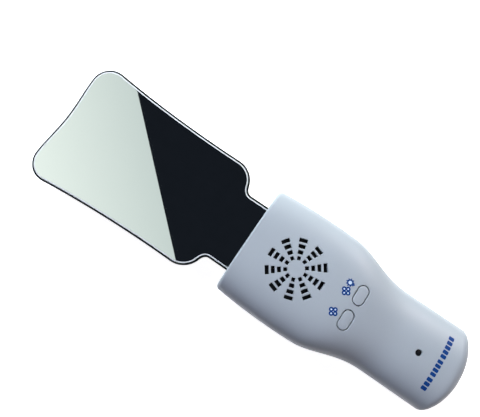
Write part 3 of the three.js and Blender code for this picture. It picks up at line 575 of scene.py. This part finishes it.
def make_indicator(material):
    """The smoked end of the light pipe, domed, just inside its hole."""
    piece = new_piece("indicator_window", "handle", [material], ("light_pipe",))
    radius = INDICATOR_RADIUS - INDICATOR_GAP
    profile = [(radius, INDICATOR_LOW_Z), (radius, INDICATOR_DOME_Z)]
    for swing in (0.4, 0.8, 1.2, 1.5):
        height = INDICATOR_DOME_RISE * math.sin(swing)
        profile.append((radius * math.cos(swing), INDICATOR_DOME_Z + height))
    bm = bmesh.new()
    add_rings(bm, [[(x, y, z) for x, y in circle((INDICATOR_X, 0), r, 32)] for r, z in profile])
    fill_mesh(piece, bm, sharp_degrees=50)


# ---- Prints ---------------------------------------------------------------------------------
def add_patch(bm, outline, material=0):
    """A thin film of ink inside an outline, lying on the top shell."""
    corners = [bm.verts.new((x, y, top_z(x, y) + PRINT_LIFT)) for x, y in outline]
    bm.faces.new(corners).material_index = material


def add_loop_patch(bm, outer, inner):
    """A closed line of ink between two outlines with equal point counts."""
    rows = []
    for outline in (inner, outer):
        rows.append([bm.verts.new((x, y, top_z(x, y) + PRINT_LIFT)) for x, y in outline])
    for j in range(len(outer)):
        k = (j + 1) % len(outer)
        bm.faces.new((rows[0][j], rows[1][j], rows[1][k], rows[0][k]))


def add_filled_loop(bm, outer, inner):
    """A closed line of ink with pale ink inside it."""
    add_loop_patch(bm, outer, inner)
    add_patch(bm, inner, 1)


def add_fan_icon(bm, centre):
    """Four outlined petals with pale middles round a hub."""
    for i in range(4):
        turn = FAN_ICON_TURN + math.pi / 2 * i
        middle = placed(centre, turn, PETAL_REACH)
        add_filled_loop(bm, oval(middle, turn, *PETAL_SIZE), oval(middle, turn, *PETAL_HOLE))
    outer, inner = HUB_RADII
    add_filled_loop(bm, circle(centre, outer, 20), circle(centre, inner, 20))


def add_light_icon(bm, centre):
    """A lamp shown as a ring with a pale middle, short rays and a dot for its foot."""
    outer, inner = LIGHT_RADII
    add_filled_loop(bm, circle(centre, outer, 28), circle(centre, inner, 28))
    for i in range(LIGHT_RAYS):
        turn = 2 * math.pi * (i + 0.5) / LIGHT_RAYS
        middle = placed(centre, turn, LIGHT_RAY_REACH)
        add_patch(bm, rounded_box(middle, LIGHT_RAY_HALF, 0.1, turn, steps=3))
    add_patch(bm, circle(placed(centre, 0.0, LIGHT_FOOT_REACH), LIGHT_FOOT_RADIUS, 16))


def add_marks(bm):
    """A row of plain bars in three groups, each in strips that follow the crowned surface."""
    for start, end, count in MARK_GROUPS:
        width = (end - start - MARK_SPACE * (count - 1)) / count
        strip_width = width / MARK_STRIPS
        for i in range(count):
            bar_y = start + i * (width + MARK_SPACE)
            for strip in range(MARK_STRIPS):
                corner = MARK_CORNER if strip in (0, MARK_STRIPS - 1) else 0.0
                low_x, high_x = MARK_X[0] + corner, MARK_X[1] - corner
                low = bar_y + strip * strip_width
                high = low + strip_width
                add_patch(bm, [(low_x, low), (high_x, low), (high_x, high), (low_x, high)])


def make_print(name, adder, materials):
    piece = new_piece(name, "handle", materials)
    bm = bmesh.new()
    adder(bm)
    fill_mesh(piece, bm)


# ---- Mirror ---------------------------------------------------------------------------------
def mirror_outline():
    """The blade's outline: tang, neck, shoulder, long side, tip corner, hollow tip, mirrored."""
    half = [(TANG_END_X, 0.0), (TANG_END_X, TANG_HALF_WIDTH - TANG_CORNER),
            (TANG_END_X - TANG_CORNER, TANG_HALF_WIDTH)]
    half += [(lerp(TANG_END_X - 4, NECK_X, i / 12), TANG_HALF_WIDTH) for i in range(13)]
    half += bezier(half[-1], *NECK_BENDS, SHOULDER_START, steps=8)
    shoulder = arc(SHOULDER_CENTRE, SHOULDER_RADIUS, SHOULDER_TURN, math.pi / 2, 20)
    half += shoulder
    corner = arc(TIP_CORNER_CENTRE, TIP_CORNER_RADIUS, TIP_CORNER_TURN, math.pi, 28)
    half += bezier(shoulder[-1], *SIDE_BENDS, corner[0], steps=40)[:-1]
    half += corner
    hollow_x = TIP_X + TIP_HOLLOW
    outer_y, inner_y = TIP_BENDS_Y
    half += bezier(corner[-1], (TIP_X, outer_y), (hollow_x, inner_y), (hollow_x, 0), steps=16)
    return half + [(x, -y) for x, y in half[-2:0:-1]]


def draw_in(outline, inset):
    """The outline moved inwards along its normals."""
    count = len(outline)
    moved = []
    for i, (x, y) in enumerate(outline):
        before, after = outline[i - 1], outline[(i + 1) % count]
        along = Vector((after[0] - before[0], after[1] - before[1])).normalized()
        moved.append((x - along.y * inset, y + along.x * inset))
    return moved


def make_mirror(face_material, bevel_material, edge_material, back_material):
    """The blade: a lacquered back, a rounded edge painted dark as shade, a pale ground bevel that is
    partly a painted reflection, and the silvered face.
    """
    materials = [face_material, bevel_material, edge_material, back_material]
    piece = new_piece("mirror_blade", "mirror", materials, ("mirror_plate",))
    outline = mirror_outline()
    low_z = MIRROR_TOP_Z - MIRROR_THICKNESS
    face, bevel, edge, back = range(4)
    profile = [
        (0.55, low_z, edge),
        (0.2, low_z + 0.15, edge),
        (0.0, low_z + 0.5, edge),
        (0.0, MIRROR_TOP_Z - 0.55, edge),
        (0.08, MIRROR_TOP_Z - 0.3, edge),
        (0.25, MIRROR_TOP_Z - 0.14, edge),
        (0.98, MIRROR_TOP_Z - 0.08, edge),
        (1.08, MIRROR_TOP_Z - 0.07, bevel),
        (1.65, MIRROR_TOP_Z - 0.02, bevel),
        (1.7, MIRROR_TOP_Z, face),
    ]
    bm = bmesh.new()
    rings = [[(x, y, z) for x, y in draw_in(outline, inset)] for inset, z, _ in profile]
    slots = [slot for _, _, slot in profile]
    rows = add_rings(bm, rings, cap_first=False, cap_last=False, materials=slots)
    bm.faces.new(rows[0][::-1]).material_index = back
    bm.faces.new(rows[-1]).material_index = face
    bmesh.ops.recalc_face_normals(bm, faces=bm.faces)
    fill_mesh(piece, bm, sharp_degrees=12)


# ---- Lamps ----------------------------------------------------------------------------------
def make_lamp(name, side, lens_material, die_material):
    """A clear domed lamp with its flange, and the die and its cup seen through the lens."""
    materials = [lens_material, die_material]
    piece = new_piece("lamp_bulb_" + name, "handle", materials, ("lamp_" + name,))
    centre = (side * LAMP_Y, LAMP_Z)

    def at(radius, reach):
        return [(LAMP_BASE_X - reach, y, z) for y, z in circle(centre, radius, 40)]

    wide = LAMP_RADIUS + LAMP_FLANGE
    profile = [(LAMP_RADIUS - LAMP_FLANGE, 0.0), (wide, 0.1), (wide, 0.6), (LAMP_RADIUS, 0.7)]
    dome_steps = 12
    for i in range(dome_steps):
        swing = math.pi / 2 * i / dome_steps
        profile.append((LAMP_RADIUS * math.cos(swing), LAMP_SIDE + LAMP_RADIUS * math.sin(swing)))
    bm = bmesh.new()
    add_rings(bm, [at(radius, reach) for radius, reach in profile])
    cup = [at(radius, reach) for radius, reach in LAMP_CUP]
    add_rings(bm, cup, cap_first=False, materials=[1, 1, 1])
    square = rounded_box(centre, (LAMP_DIE_HALF, LAMP_DIE_HALF), 0.08)
    die = [[(LAMP_BASE_X - reach, y, z) for y, z in square] for reach in LAMP_DIE_REACH]
    add_rings(bm, die, materials=[1])
    bmesh.ops.recalc_face_normals(bm, faces=bm.faces)
    fill_mesh(piece, bm, sharp_degrees=40)


# ---- Material tools -------------------------------------------------------------------------
def add_node(tree, kind, inputs=None, **settings):
    """A shader node with its settings; an input is a constant or another node's output."""
    made = tree.nodes.new(kind)
    for key, value in settings.items():
        setattr(made, key, value)
    for key, value in (inputs or {}).items():
        if isinstance(value, bpy.types.NodeSocket):
            tree.links.new(value, made.inputs[key])
        else:
            made.inputs[key].default_value = value
    return made


def new_material(name):
    """A material with its shader and the object's own coordinates, in metres."""
    material = bpy.data.materials.new(name)
    material.use_nodes = True
    tree = material.node_tree
    shader = next(n for n in tree.nodes if n.type == "BSDF_PRINCIPLED")
    place = add_node(tree, "ShaderNodeTexCoord").outputs["Object"]
    return material, tree, shader, place


def noise(tree, place, scale, detail=3.0, roughness=0.5):
    inputs = {"Vector": place, "Scale": scale, "Detail": detail, "Roughness": roughness}
    return add_node(tree, "ShaderNodeTexNoise", inputs).outputs["Fac"]


def spread(tree, value, low, high):
    """Maps the middle of a noise to a range."""
    inputs = {"Value": value, "From Min": 0.3, "From Max": 0.7, "To Min": low, "To Max": high}
    return add_node(tree, "ShaderNodeMapRange", inputs).outputs["Result"]


def between(tree, share, a, b):
    """A colour between a and b."""
    mixed = add_node(tree, "ShaderNodeMix", data_type="RGBA")
    tree.links.new(share, mixed.inputs[0])
    mixed.inputs[6].default_value = (*a, 1.0)
    mixed.inputs[7].default_value = (*b, 1.0)
    return mixed.outputs[2]


def vary_colour(tree, shader, share, a, b):
    tree.links.new(between(tree, share, a, b), shader.inputs["Base Color"])


def vary_roughness(tree, shader, value, low, high):
    tree.links.new(spread(tree, value, low, high), shader.inputs["Roughness"])


def vary_glow(tree, shader, share, a, b):
    """Makes a black surface glow in a colour between a and b."""
    tree.links.new(between(tree, share, a, b), shader.inputs["Emission Color"])
    set_shader(shader, Base_Color=(0, 0, 0, 1), Emission_Strength=1.0)


def relief(tree, shader, heights):
    """Chains bumps; each height is a value with its depth in metres and its strength."""
    normal = None
    for height, depth, strength in heights:
        inputs = {"Height": height, "Distance": depth, "Strength": strength}
        if normal:
            inputs["Normal"] = normal
        normal = add_node(tree, "ShaderNodeBump", inputs).outputs["Normal"]
    tree.links.new(normal, shader.inputs["Normal"])


def shade(colour, factor):
    return tuple(min(c * factor, 1.0) for c in colour)


def set_shader(shader, **values):
    """Sets constants on the shader's own sockets; underscores in a name stand for spaces."""
    for key, value in values.items():
        shader.inputs[key.replace("_", " ")].default_value = value


def moulded(name, colour, roughness, grain_size=0.25, grain=0.3, mottle=0.03, **constants):
    """Moulded or painted surface: fine grain, faint waviness, and slight mottling of its colour."""
    material, tree, shader, place = new_material(name)
    fine = noise(tree, place, 1 / (grain_size * MM), 2.0)
    wavy = noise(tree, place, 90.0, 3.0)
    broad = noise(tree, place, 28.0, 4.0, 0.6)
    vary_colour(tree, shader, broad, shade(colour, 1 - mottle), shade(colour, 1 + mottle))
    vary_roughness(tree, shader, wavy, roughness - 0.04, roughness + 0.04)
    relief(tree, shader, [(wavy, 0.00002, 0.12), (fine, 0.00002, grain)])
    set_shader(shader, **constants)
    return material


def brushed(name, colour, roughness, stretch, **constants):
    """Metal with fine marks drawn out along one axis."""
    material, tree, shader, place = new_material(name)
    drawn = add_node(tree, "ShaderNodeMapping", {"Vector": place, "Scale": stretch})
    marks = noise(tree, drawn.outputs["Vector"], 2500.0, 3.0, 0.6)
    stain = noise(tree, place, 260.0, 3.0)
    vary_colour(tree, shader, stain, shade(colour, 0.86), colour)
    vary_roughness(tree, shader, marks, roughness - 0.07, roughness + 0.1)
    relief(tree, shader, [(marks, 0.00001, 0.35)])
    set_shader(shader, Metallic=1.0, **constants)
    return material


# ---- Materials ------------------------------------------------------------------------------
SHELL_COLOUR = (0.395, 0.44, 0.475)
KEY_COLOUR = (0.405, 0.45, 0.485)


def make_mirror_face():
    """A front-silvered face: nearly perfect, with the faintest haze of wiping."""
    material, tree, shader, place = new_material("mirror_coating")
    haze = noise(tree, place, 70.0, 5.0, 0.65)
    vary_colour(tree, shader, haze, (0.90, 0.95, 0.92), (0.92, 0.97, 0.94))
    vary_roughness(tree, shader, haze, 0.008, 0.02)
    set_shader(shader, Metallic=1.0)
    return material


def make_ground_glass():
    """The ground bevel of the glass, pale and slightly streaked; the paleness is partly a painted
    reflection of the bright band along the bevel.
    """
    material, tree, shader, place = new_material("ground_bevel_painted_reflection")
    streak = noise(tree, place, 1800.0, 3.0, 0.6)
    # Pale colour: ground glass, and partly a painted reflection of the bright band along the bevel.
    vary_colour(tree, shader, streak, (0.66, 0.69, 0.69), (0.74, 0.77, 0.77))
    vary_roughness(tree, shader, streak, 0.22, 0.4)
    relief(tree, shader, [(streak, 0.00001, 0.3)])
    set_shader(shader, IOR=1.52, Coat_Weight=0.15, Coat_Roughness=0.1)
    return material


def make_glass_edge():
    """The finely ground edge of the glass, painted near-black: painted shade for the dark line along
    the glass's edge.
    """
    material, tree, shader, place = new_material("glass_edge_painted_shade")
    depth = noise(tree, place, 420.0, 3.0)
    # Near-black colour: painted shade for the dark line along the glass's edge.
    vary_colour(tree, shader, depth, (0.006, 0.008, 0.009), (0.014, 0.018, 0.019))
    vary_roughness(tree, shader, depth, 0.5, 0.65)
    relief(tree, shader, [(depth, 0.00001, 0.2)])
    set_shader(shader, Specular_IOR_Level=0.08)
    return material


def make_board():
    """Green solder mask over faint copper tracks."""
    material, tree, shader, place = new_material("circuit_board")
    grid = add_node(tree, "ShaderNodeTexBrick", {
        "Vector": place, "Scale": 320.0, "Mortar Size": 0.02, "Mortar Smooth": 0.1,
        "Brick Width": 0.9, "Row Height": 0.22,
        "Color1": (0.010, 0.085, 0.035, 1), "Color2": (0.014, 0.12, 0.05, 1),
        "Mortar": (0.006, 0.05, 0.02, 1)})
    tree.links.new(grid.outputs["Color"], shader.inputs["Base Color"])
    weave = noise(tree, place, 1600.0, 2.0)
    vary_roughness(tree, shader, weave, 0.25, 0.4)
    relief(tree, shader, [(grid.outputs["Fac"], 0.00003, 0.5), (weave, 0.00001, 0.3)])
    set_shader(shader, Coat_Weight=0.3, Coat_Roughness=0.2)
    return material


def make_windings():
    """Enamelled copper wire, turn beside turn, painted darker in the grooves between turns as shade.
    """
    material, tree, shader, place = new_material("copper_windings")
    wave = {"Vector": place, "Scale": 1300.0, "Distortion": 1.2}
    turns = add_node(tree, "ShaderNodeTexWave", wave, bands_direction="Z").outputs["Fac"]
    # Darker where the bump is low, between the turns: painted shade in the grooves.
    vary_colour(tree, shader, turns, (0.22, 0.07, 0.02), (0.75, 0.33, 0.12))
    vary_roughness(tree, shader, turns, 0.25, 0.4)
    relief(tree, shader, [(turns, 0.0001, 0.8)])
    set_shader(shader, Metallic=0.9, Coat_Weight=0.4)
    return material


def make_foil():
    """The pouch of the cell: crinkled aluminium laminate."""
    material, tree, shader, place = new_material("battery_foil")
    cells = {"Vector": place, "Scale": 160.0}
    folds = add_node(tree, "ShaderNodeTexVoronoi", cells, feature="SMOOTH_F1").outputs["Distance"]
    crinkle = noise(tree, place, 380.0, 5.0, 0.6)
    vary_colour(tree, shader, crinkle, (0.42, 0.44, 0.46), (0.62, 0.64, 0.66))
    vary_roughness(tree, shader, crinkle, 0.3, 0.46)
    relief(tree, shader, [(folds, 0.0002, 0.35), (crinkle, 0.0001, 0.4)])
    set_shader(shader, Metallic=0.75)
    return material


def make_foam():
    """Dark foam with open cells, painted darker in the cells' hollows as shade."""
    material, tree, shader, place = new_material("foam")
    voronoi = add_node(tree, "ShaderNodeTexVoronoi", {"Vector": place, "Scale": 2200.0})
    cells = voronoi.outputs["Distance"]
    # Darker where the bump is low, in the cells' hollows: painted shade.
    vary_colour(tree, shader, cells, (0.008, 0.008, 0.009), (0.05, 0.05, 0.052))
    vary_roughness(tree, shader, cells, 0.85, 1.0)
    relief(tree, shader, [(cells, 0.0003, 0.8)])
    return material


def make_lens():
    """Clear cast resin with faint swirls."""
    material, tree, shader, place = new_material("lamp_resin")
    swirl = noise(tree, place, 500.0, 3.0)
    vary_colour(tree, shader, swirl, (0.93, 0.95, 0.97), (0.98, 0.99, 1.0))
    vary_roughness(tree, shader, swirl, 0.02, 0.07)
    relief(tree, shader, [(swirl, 0.00001, 0.15)])
    set_shader(shader, IOR=1.53, Transmission_Weight=0.92)
    return material


def make_phosphor():
    """The lamp's yellow phosphor in its pale cup."""
    material, tree, shader, place = new_material("lamp_phosphor")
    speckle = noise(tree, place, 3500.0, 3.0)
    vary_colour(tree, shader, speckle, (0.75, 0.62, 0.18), (0.9, 0.82, 0.45))
    vary_roughness(tree, shader, speckle, 0.4, 0.6)
    relief(tree, shader, [(speckle, 0.00005, 0.5)])
    return material


def carried_over_materials():
    """Materials for the CAD nodes that are kept, by the start of their names."""
    steel = brushed("screw_steel", (0.62, 0.63, 0.65), 0.28, (1, 1, 0.1))
    black = moulded("black_plastic", (0.012, 0.012, 0.014), 0.5, 0.18, 0.5)
    lead = moulded("red_insulation", (0.36, 0.016, 0.012), 0.42, 0.5, 0.2, Sheen_Weight=0.1)
    magnet = moulded("magnet_ferrite", (0.035, 0.035, 0.038), 0.6, 0.12, 0.6, mottle=0.2,
                     Metallic=0.3)
    board = make_board()
    return {
        "front_bezel": moulded("bezel_plastic", (0.022, 0.023, 0.026), 0.46, 0.22, 0.6),
        "housing_screw": steel,
        "board_screw": steel,
        "blower_screw": steel,
        "mirror_tray": moulded("natural_nylon", (0.72, 0.70, 0.62), 0.48, 0.3, 0.3,
                               Subsurface_Weight=0.1),
        "mirror_spring": brushed("spring_steel", (0.52, 0.53, 0.55), 0.25, (0.05, 1, 1)),
        "air_duct": black,
        "blower": black,
        "motor_board": board,
        "stator": make_windings(),
        "bearing_sleeve": brushed("sintered_bronze", (0.55, 0.36, 0.17), 0.4, (1, 1, 1)),
        "rotor_shaft": steel,
        "rotor_magnet": magnet,
        "impeller": moulded("impeller_plastic", (0.016, 0.016, 0.018), 0.42, 0.2, 0.4),
        "lamp_board": moulded("white_board", (0.78, 0.80, 0.79), 0.4, 0.3, 0.2, Coat_Weight=0.3),
        "lamp_lead": lead,
        "circuit_board": board,
        "controller_chip": moulded("chip_epoxy", (0.014, 0.014, 0.015), 0.55, 0.08, 0.6),
        "fan_": moulded("switch_plastic", (0.02, 0.02, 0.022), 0.4, 0.15, 0.3),
        "fan_lead": moulded("black_insulation", (0.012, 0.012, 0.012), 0.42, 0.5, 0.2),
        "indicator_diode": moulded("diode_resin", (0.82, 0.80, 0.66), 0.25, 0.2, 0.1,
                                   Transmission_Weight=0.3),
        "charge_socket": brushed("socket_steel", (0.6, 0.6, 0.62), 0.3, (0.05, 1, 1)),
        "battery_connector": moulded("connector_nylon", (0.75, 0.73, 0.66), 0.45, 0.25, 0.3),
        "battery_cell": make_foil(),
        "battery_pad": make_foam(),
        "battery_lead": lead,
    }


def finish_carried_over(nodes, replaced):
    """Gives each kept CAD node the material with the longest matching name, and a fine bevel."""
    finishes = carried_over_materials()
    for name, node in nodes.items():
        if name in replaced:
            continue
        key = max((k for k in finishes if name.startswith(k)), key=len)
        node.data.materials.clear()
        node.data.materials.append(finishes[key])
        bevel = node.modifiers.new("Edge", "BEVEL")
        bevel.width = 0.12 * MM
        bevel.segments = 2
        bevel.limit_method = "ANGLE"
        bevel.angle_limit = math.radians(40)


# ---- Studio ---------------------------------------------------------------------------------
def add_camera():
    """The photograph's viewpoint, steeply from above."""
    forward = Vector(CAMERA_FORWARD).normalized()
    back = -forward
    right = Vector(CAMERA_UP).cross(back).normalized()
    up = back.cross(right)
    turn = Matrix((right, up, back)).transposed().to_4x4()
    data = bpy.data.cameras.new("camera")
    data.lens = CAMERA_LENS
    data.sensor_width = 36.0
    data.clip_start = 0.01
    data.clip_end = 50.0
    camera = bpy.data.objects.new("camera", data)
    camera.matrix_world = Matrix.Translation(Vector(CAMERA_PLACE) * MM) @ turn
    bpy.context.scene.collection.objects.link(camera)
    bpy.context.scene.camera = camera


def add_area_light(name, place, size, power, colour):
    """A square light at a place in metres, turned towards the object."""
    data = bpy.data.lights.new(name, "AREA")
    data.size = size
    data.energy = power
    data.color = colour
    light = bpy.data.objects.new(name, data)
    light.location = place
    light.rotation_euler = (Vector(LIGHT_AIM) - Vector(place)).to_track_quat("-Z", "Y").to_euler()
    bpy.context.scene.collection.objects.link(light)
    return light


def hide_from(thing, *kinds):
    """Hides an object from these kinds of ray."""
    for kind in kinds:
        setattr(thing, "visible_" + kind, False)


def add_stage_sheet(name, corners, z, material):
    """A flat sheet of the studio, which isn't part of the object."""
    sheet = new_object(name)
    bm = bmesh.new()
    bm.faces.new([bm.verts.new((x * MM, y * MM, z * MM)) for x, y in corners])
    bm.to_mesh(sheet.data)
    bm.free()
    sheet.data.materials.append(material)
    return sheet


def add_floor():
    """White paper for the camera, and a dimmer sheet that lights the object from below."""
    signs = ((-1, -1), (1, -1), (1, 1), (-1, 1))
    corners = [(u * FLOOR_REACH, v * FLOOR_REACH) for u, v in signs]
    paper, tree, shader, place = new_material("studio_paper")
    fibre = noise(tree, place, 900.0, 3.0)
    vary_colour(tree, shader, fibre, (0.86, 0.86, 0.86), (0.9, 0.9, 0.9))
    set_shader(shader, Roughness=0.9, Specular_IOR_Level=0.1, Emission_Strength=0.93,
               Emission_Color=(1, 1, 1, 1))
    hide_from(add_stage_sheet("studio_floor", corners, -0.02, paper), "diffuse")
    dim, tree, shader, place = new_material("studio_bounce")
    set_shader(shader, Base_Color=(0, 0, 0, 1), Emission_Strength=0.15, Emission_Color=(1, 1, 1, 1))
    bounce = add_stage_sheet("studio_bounce", corners, -0.04, dim)
    hide_from(bounce, "camera", "glossy", "transmission")


def add_backdrop():
    """A round wall, white at the floor and greyer above, which only the camera sees."""
    wall = new_object("studio_backdrop")
    paint, tree, shader, place = new_material("studio_paint")
    height = add_node(tree, "ShaderNodeSeparateXYZ", {"Vector": place}).outputs["Z"]
    blotch = noise(tree, place, 2.0, 3.0)
    terms = {0: blotch, 1: 0.5, 2: height}
    uneven = add_node(tree, "ShaderNodeMath", terms, operation="MULTIPLY_ADD").outputs["Value"]
    share = add_node(tree, "ShaderNodeMapRange", {"Value": uneven, "From Min": 0.4, "From Max": 2.6})
    vary_glow(tree, shader, share.outputs["Result"], (1.0, 1.0, 1.0), (0.74, 0.75, 0.76))
    set_shader(shader, Roughness=1.0)
    bm = bmesh.new()
    wall_line = circle((0, 0), BACKDROP_RADIUS, 96)
    rings = [[(x, y, z) for x, y in wall_line] for z in (-1.0, BACKDROP_TOP_Z)]
    add_rings(bm, rings, cap_first=False, cap_last=False)
    fill_mesh(wall, bm)
    wall.data.materials.append(paint)
    hide_from(wall, "diffuse", "glossy", "transmission", "shadow")


def add_world():
    """Dim at the horizon and darker above, so that the handle's far side keeps its shade."""
    world = bpy.data.worlds.new("studio")
    bpy.context.scene.world = world
    world.use_nodes = True
    tree = world.node_tree
    sky = next(n for n in tree.nodes if n.type == "BACKGROUND")
    way = add_node(tree, "ShaderNodeTexCoord").outputs["Generated"]
    height = add_node(tree, "ShaderNodeSeparateXYZ", {"Vector": way}).outputs["Z"]
    ramp = add_node(tree, "ShaderNodeValToRGB", {"Fac": height})
    ramp.color_ramp.elements[0].color = (0.17, 0.16, 0.19, 1)
    ramp.color_ramp.elements[1].color = (0.06, 0.055, 0.085, 1)
    ramp.color_ramp.elements[1].position = 0.3
    tree.links.new(ramp.outputs["Color"], sky.inputs["Color"])
    sky.inputs["Strength"].default_value = 1.0


def add_card(name, corners, material):
    """A sheet above the object that lights nothing and shades nothing, there to be reflected."""
    hide_from(add_stage_sheet(name, corners, PANEL_Z, material), "camera", "diffuse", "shadow")


def add_reflections():
    """A pale panel over the mirror's tip and a dark card over its neck, for it to reflect."""
    start, end = (Vector(point) for point in PANEL_EDGE)
    along = (end - start).normalized()
    away = Vector((along.y, -along.x))
    if away.x > 0:
        away = -away
    panel, tree, shader, place = new_material("studio_panel")
    run = add_node(tree, "ShaderNodeVectorMath", {0: place, 1: (away.x, away.y, 0)},
                   operation="DOT_PRODUCT").outputs["Value"]
    edge_run = start.dot(away) * MM
    reach = {"Value": run, "From Min": edge_run, "From Max": edge_run + PANEL_FADE * MM}
    share = add_node(tree, "ShaderNodeMapRange", reach).outputs["Result"]
    vary_glow(tree, shader, share, (0.62, 0.68, 0.67), (0.95, 1.0, 0.96))
    set_shader(shader, Specular_IOR_Level=0.0)
    a = start - along * PANEL_OVERHANGS[0]
    b = end + along * PANEL_OVERHANGS[1]
    deep = away * PANEL_DEPTH
    add_card("studio_panel", [a, b, b + deep, a + deep], panel)
    card, tree, shader, place = new_material("studio_card")
    pile = noise(tree, place, 40.0, 3.0)
    vary_glow(tree, shader, pile, (0.007, 0.009, 0.013), (0.009, 0.011, 0.016))
    set_shader(shader, Specular_IOR_Level=0.0)
    a = start - along * CARD_OVERHANGS[0]
    b = end + along * CARD_OVERHANGS[1]
    low_y, high_y = CARD_END_Y
    add_card("studio_card", [a, (CARD_END_X, high_y), (CARD_END_X, low_y), b], card)


def add_reflection_dome():
    """A dome that is pale at its foot and grey above, seen only as a reflection."""
    dome = new_object("studio_dome")
    paint, tree, shader, place = new_material("studio_dome_paint")
    height = add_node(tree, "ShaderNodeSeparateXYZ", {"Vector": place}).outputs["Z"]
    share = add_node(tree, "ShaderNodeMapRange", {"Value": height, "From Min": 0.3, "From Max": 1.8})
    vary_glow(tree, shader, share.outputs["Result"], (0.6, 0.63, 0.64), (0.2, 0.21, 0.23))
    set_shader(shader, Specular_IOR_Level=0.0)
    bm = bmesh.new()
    rings = []
    for degrees in range(0, 90, 6):
        rise = math.radians(degrees)
        ring = circle((0, 0), DOME_RADIUS * math.cos(rise), 64)
        rings.append([(x, y, DOME_RADIUS * math.sin(rise)) for x, y in ring])
    add_rings(bm, rings, cap_first=False)
    fill_mesh(dome, bm)
    dome.data.materials.append(paint)
    hide_from(dome, "camera", "diffuse", "transmission", "shadow")


def add_lights():
    """A cool key from the mirror's side, with fills; only the tail's fill shows as a reflection."""
    lights = (
        ("key", (-0.83, 0.4, 0.66), 0.56, 11.8, (0.7, 0.74, 0.98)),
        ("near_key", (-0.36, 0.52, 0.48), 0.35, 4.3, (0.84, 0.97, 0.98)),
        ("low_fill", (-0.55, 0.45, 0.2), 0.35, 1.9, (0.95, 0.98, 0.6)),
        ("side_fill", (0.05, 0.7, 0.15), 0.35, 0.6, (0.8, 1.0, 0.8)),
        ("tail_fill", (0.3, 0.5, 0.45), 0.35, 1.9, (1.0, 0.84, 0.8)),
    )
    for name, place, size, power, colour in lights:
        light = add_area_light(name, place, size, power, colour)
        light.visible_glossy = name == "tail_fill"


# ---- Scene ----------------------------------------------------------------------------------
def build_object(nodes):
    shell = moulded("shell_plastic", SHELL_COLOUR, 0.38, 0.22, 0.25, mottle=0.02)
    keys = moulded("key_plastic", KEY_COLOUR, 0.4, 0.22, 0.25, mottle=0.02)
    ink = moulded("print_ink", (0.001, 0.040, 0.2), 0.5, 0.15, 0.4, mottle=0.15,
                  Specular_IOR_Level=0.25)
    pale_ink = moulded("pale_print_ink", (0.6, 0.72, 0.85), 0.45, 0.15, 0.4, mottle=0.05)
    smoke = moulded("smoked_resin", (0.006, 0.007, 0.008), 0.2, 0.4, 0.1, Specular_IOR_Level=0.3)
    back = moulded("back_lacquer", (0.05, 0.055, 0.06), 0.35, 0.3, 0.3)
    make_top_shell(shell)
    make_bottom_shell(shell)
    make_button("fan", -1, keys)
    make_button("fan_light", 1, keys)
    make_indicator(smoke)
    make_mirror(make_mirror_face(), make_ground_glass(), make_glass_edge(), back)
    lens, phosphor = make_lens(), make_phosphor()
    for name, side in (("left", 1), ("right", -1)):
        make_lamp(name, side, lens, phosphor)
    inks = [ink, pale_ink]
    make_print("print_fan_symbol", lambda bm: add_fan_icon(bm, FAN_ICONS[0]), inks)
    make_print("print_second_fan_symbol", lambda bm: add_fan_icon(bm, FAN_ICONS[1]), inks)
    make_print("print_lamp_symbol", lambda bm: add_light_icon(bm, LIGHT_ICON), inks)
    make_print("print_tail_bars", add_marks, [ink])
    replaced = {"top_shell", "bottom_shell", "fan_button", "fan_light_button", "light_pipe",
                "mirror_plate", "lamp_left", "lamp_right"}
    finish_carried_over(nodes, replaced)


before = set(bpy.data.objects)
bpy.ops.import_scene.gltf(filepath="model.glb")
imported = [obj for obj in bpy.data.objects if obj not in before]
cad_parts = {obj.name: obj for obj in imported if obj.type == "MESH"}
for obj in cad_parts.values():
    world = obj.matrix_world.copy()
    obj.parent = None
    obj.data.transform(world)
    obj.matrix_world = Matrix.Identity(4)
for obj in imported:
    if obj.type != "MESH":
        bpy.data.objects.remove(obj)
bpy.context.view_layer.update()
bpy.context.scene.view_settings.view_transform = "Standard"
build_object(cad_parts)
add_camera()
add_floor()
add_backdrop()
add_world()
add_lights()
add_reflections()
add_reflection_dome()
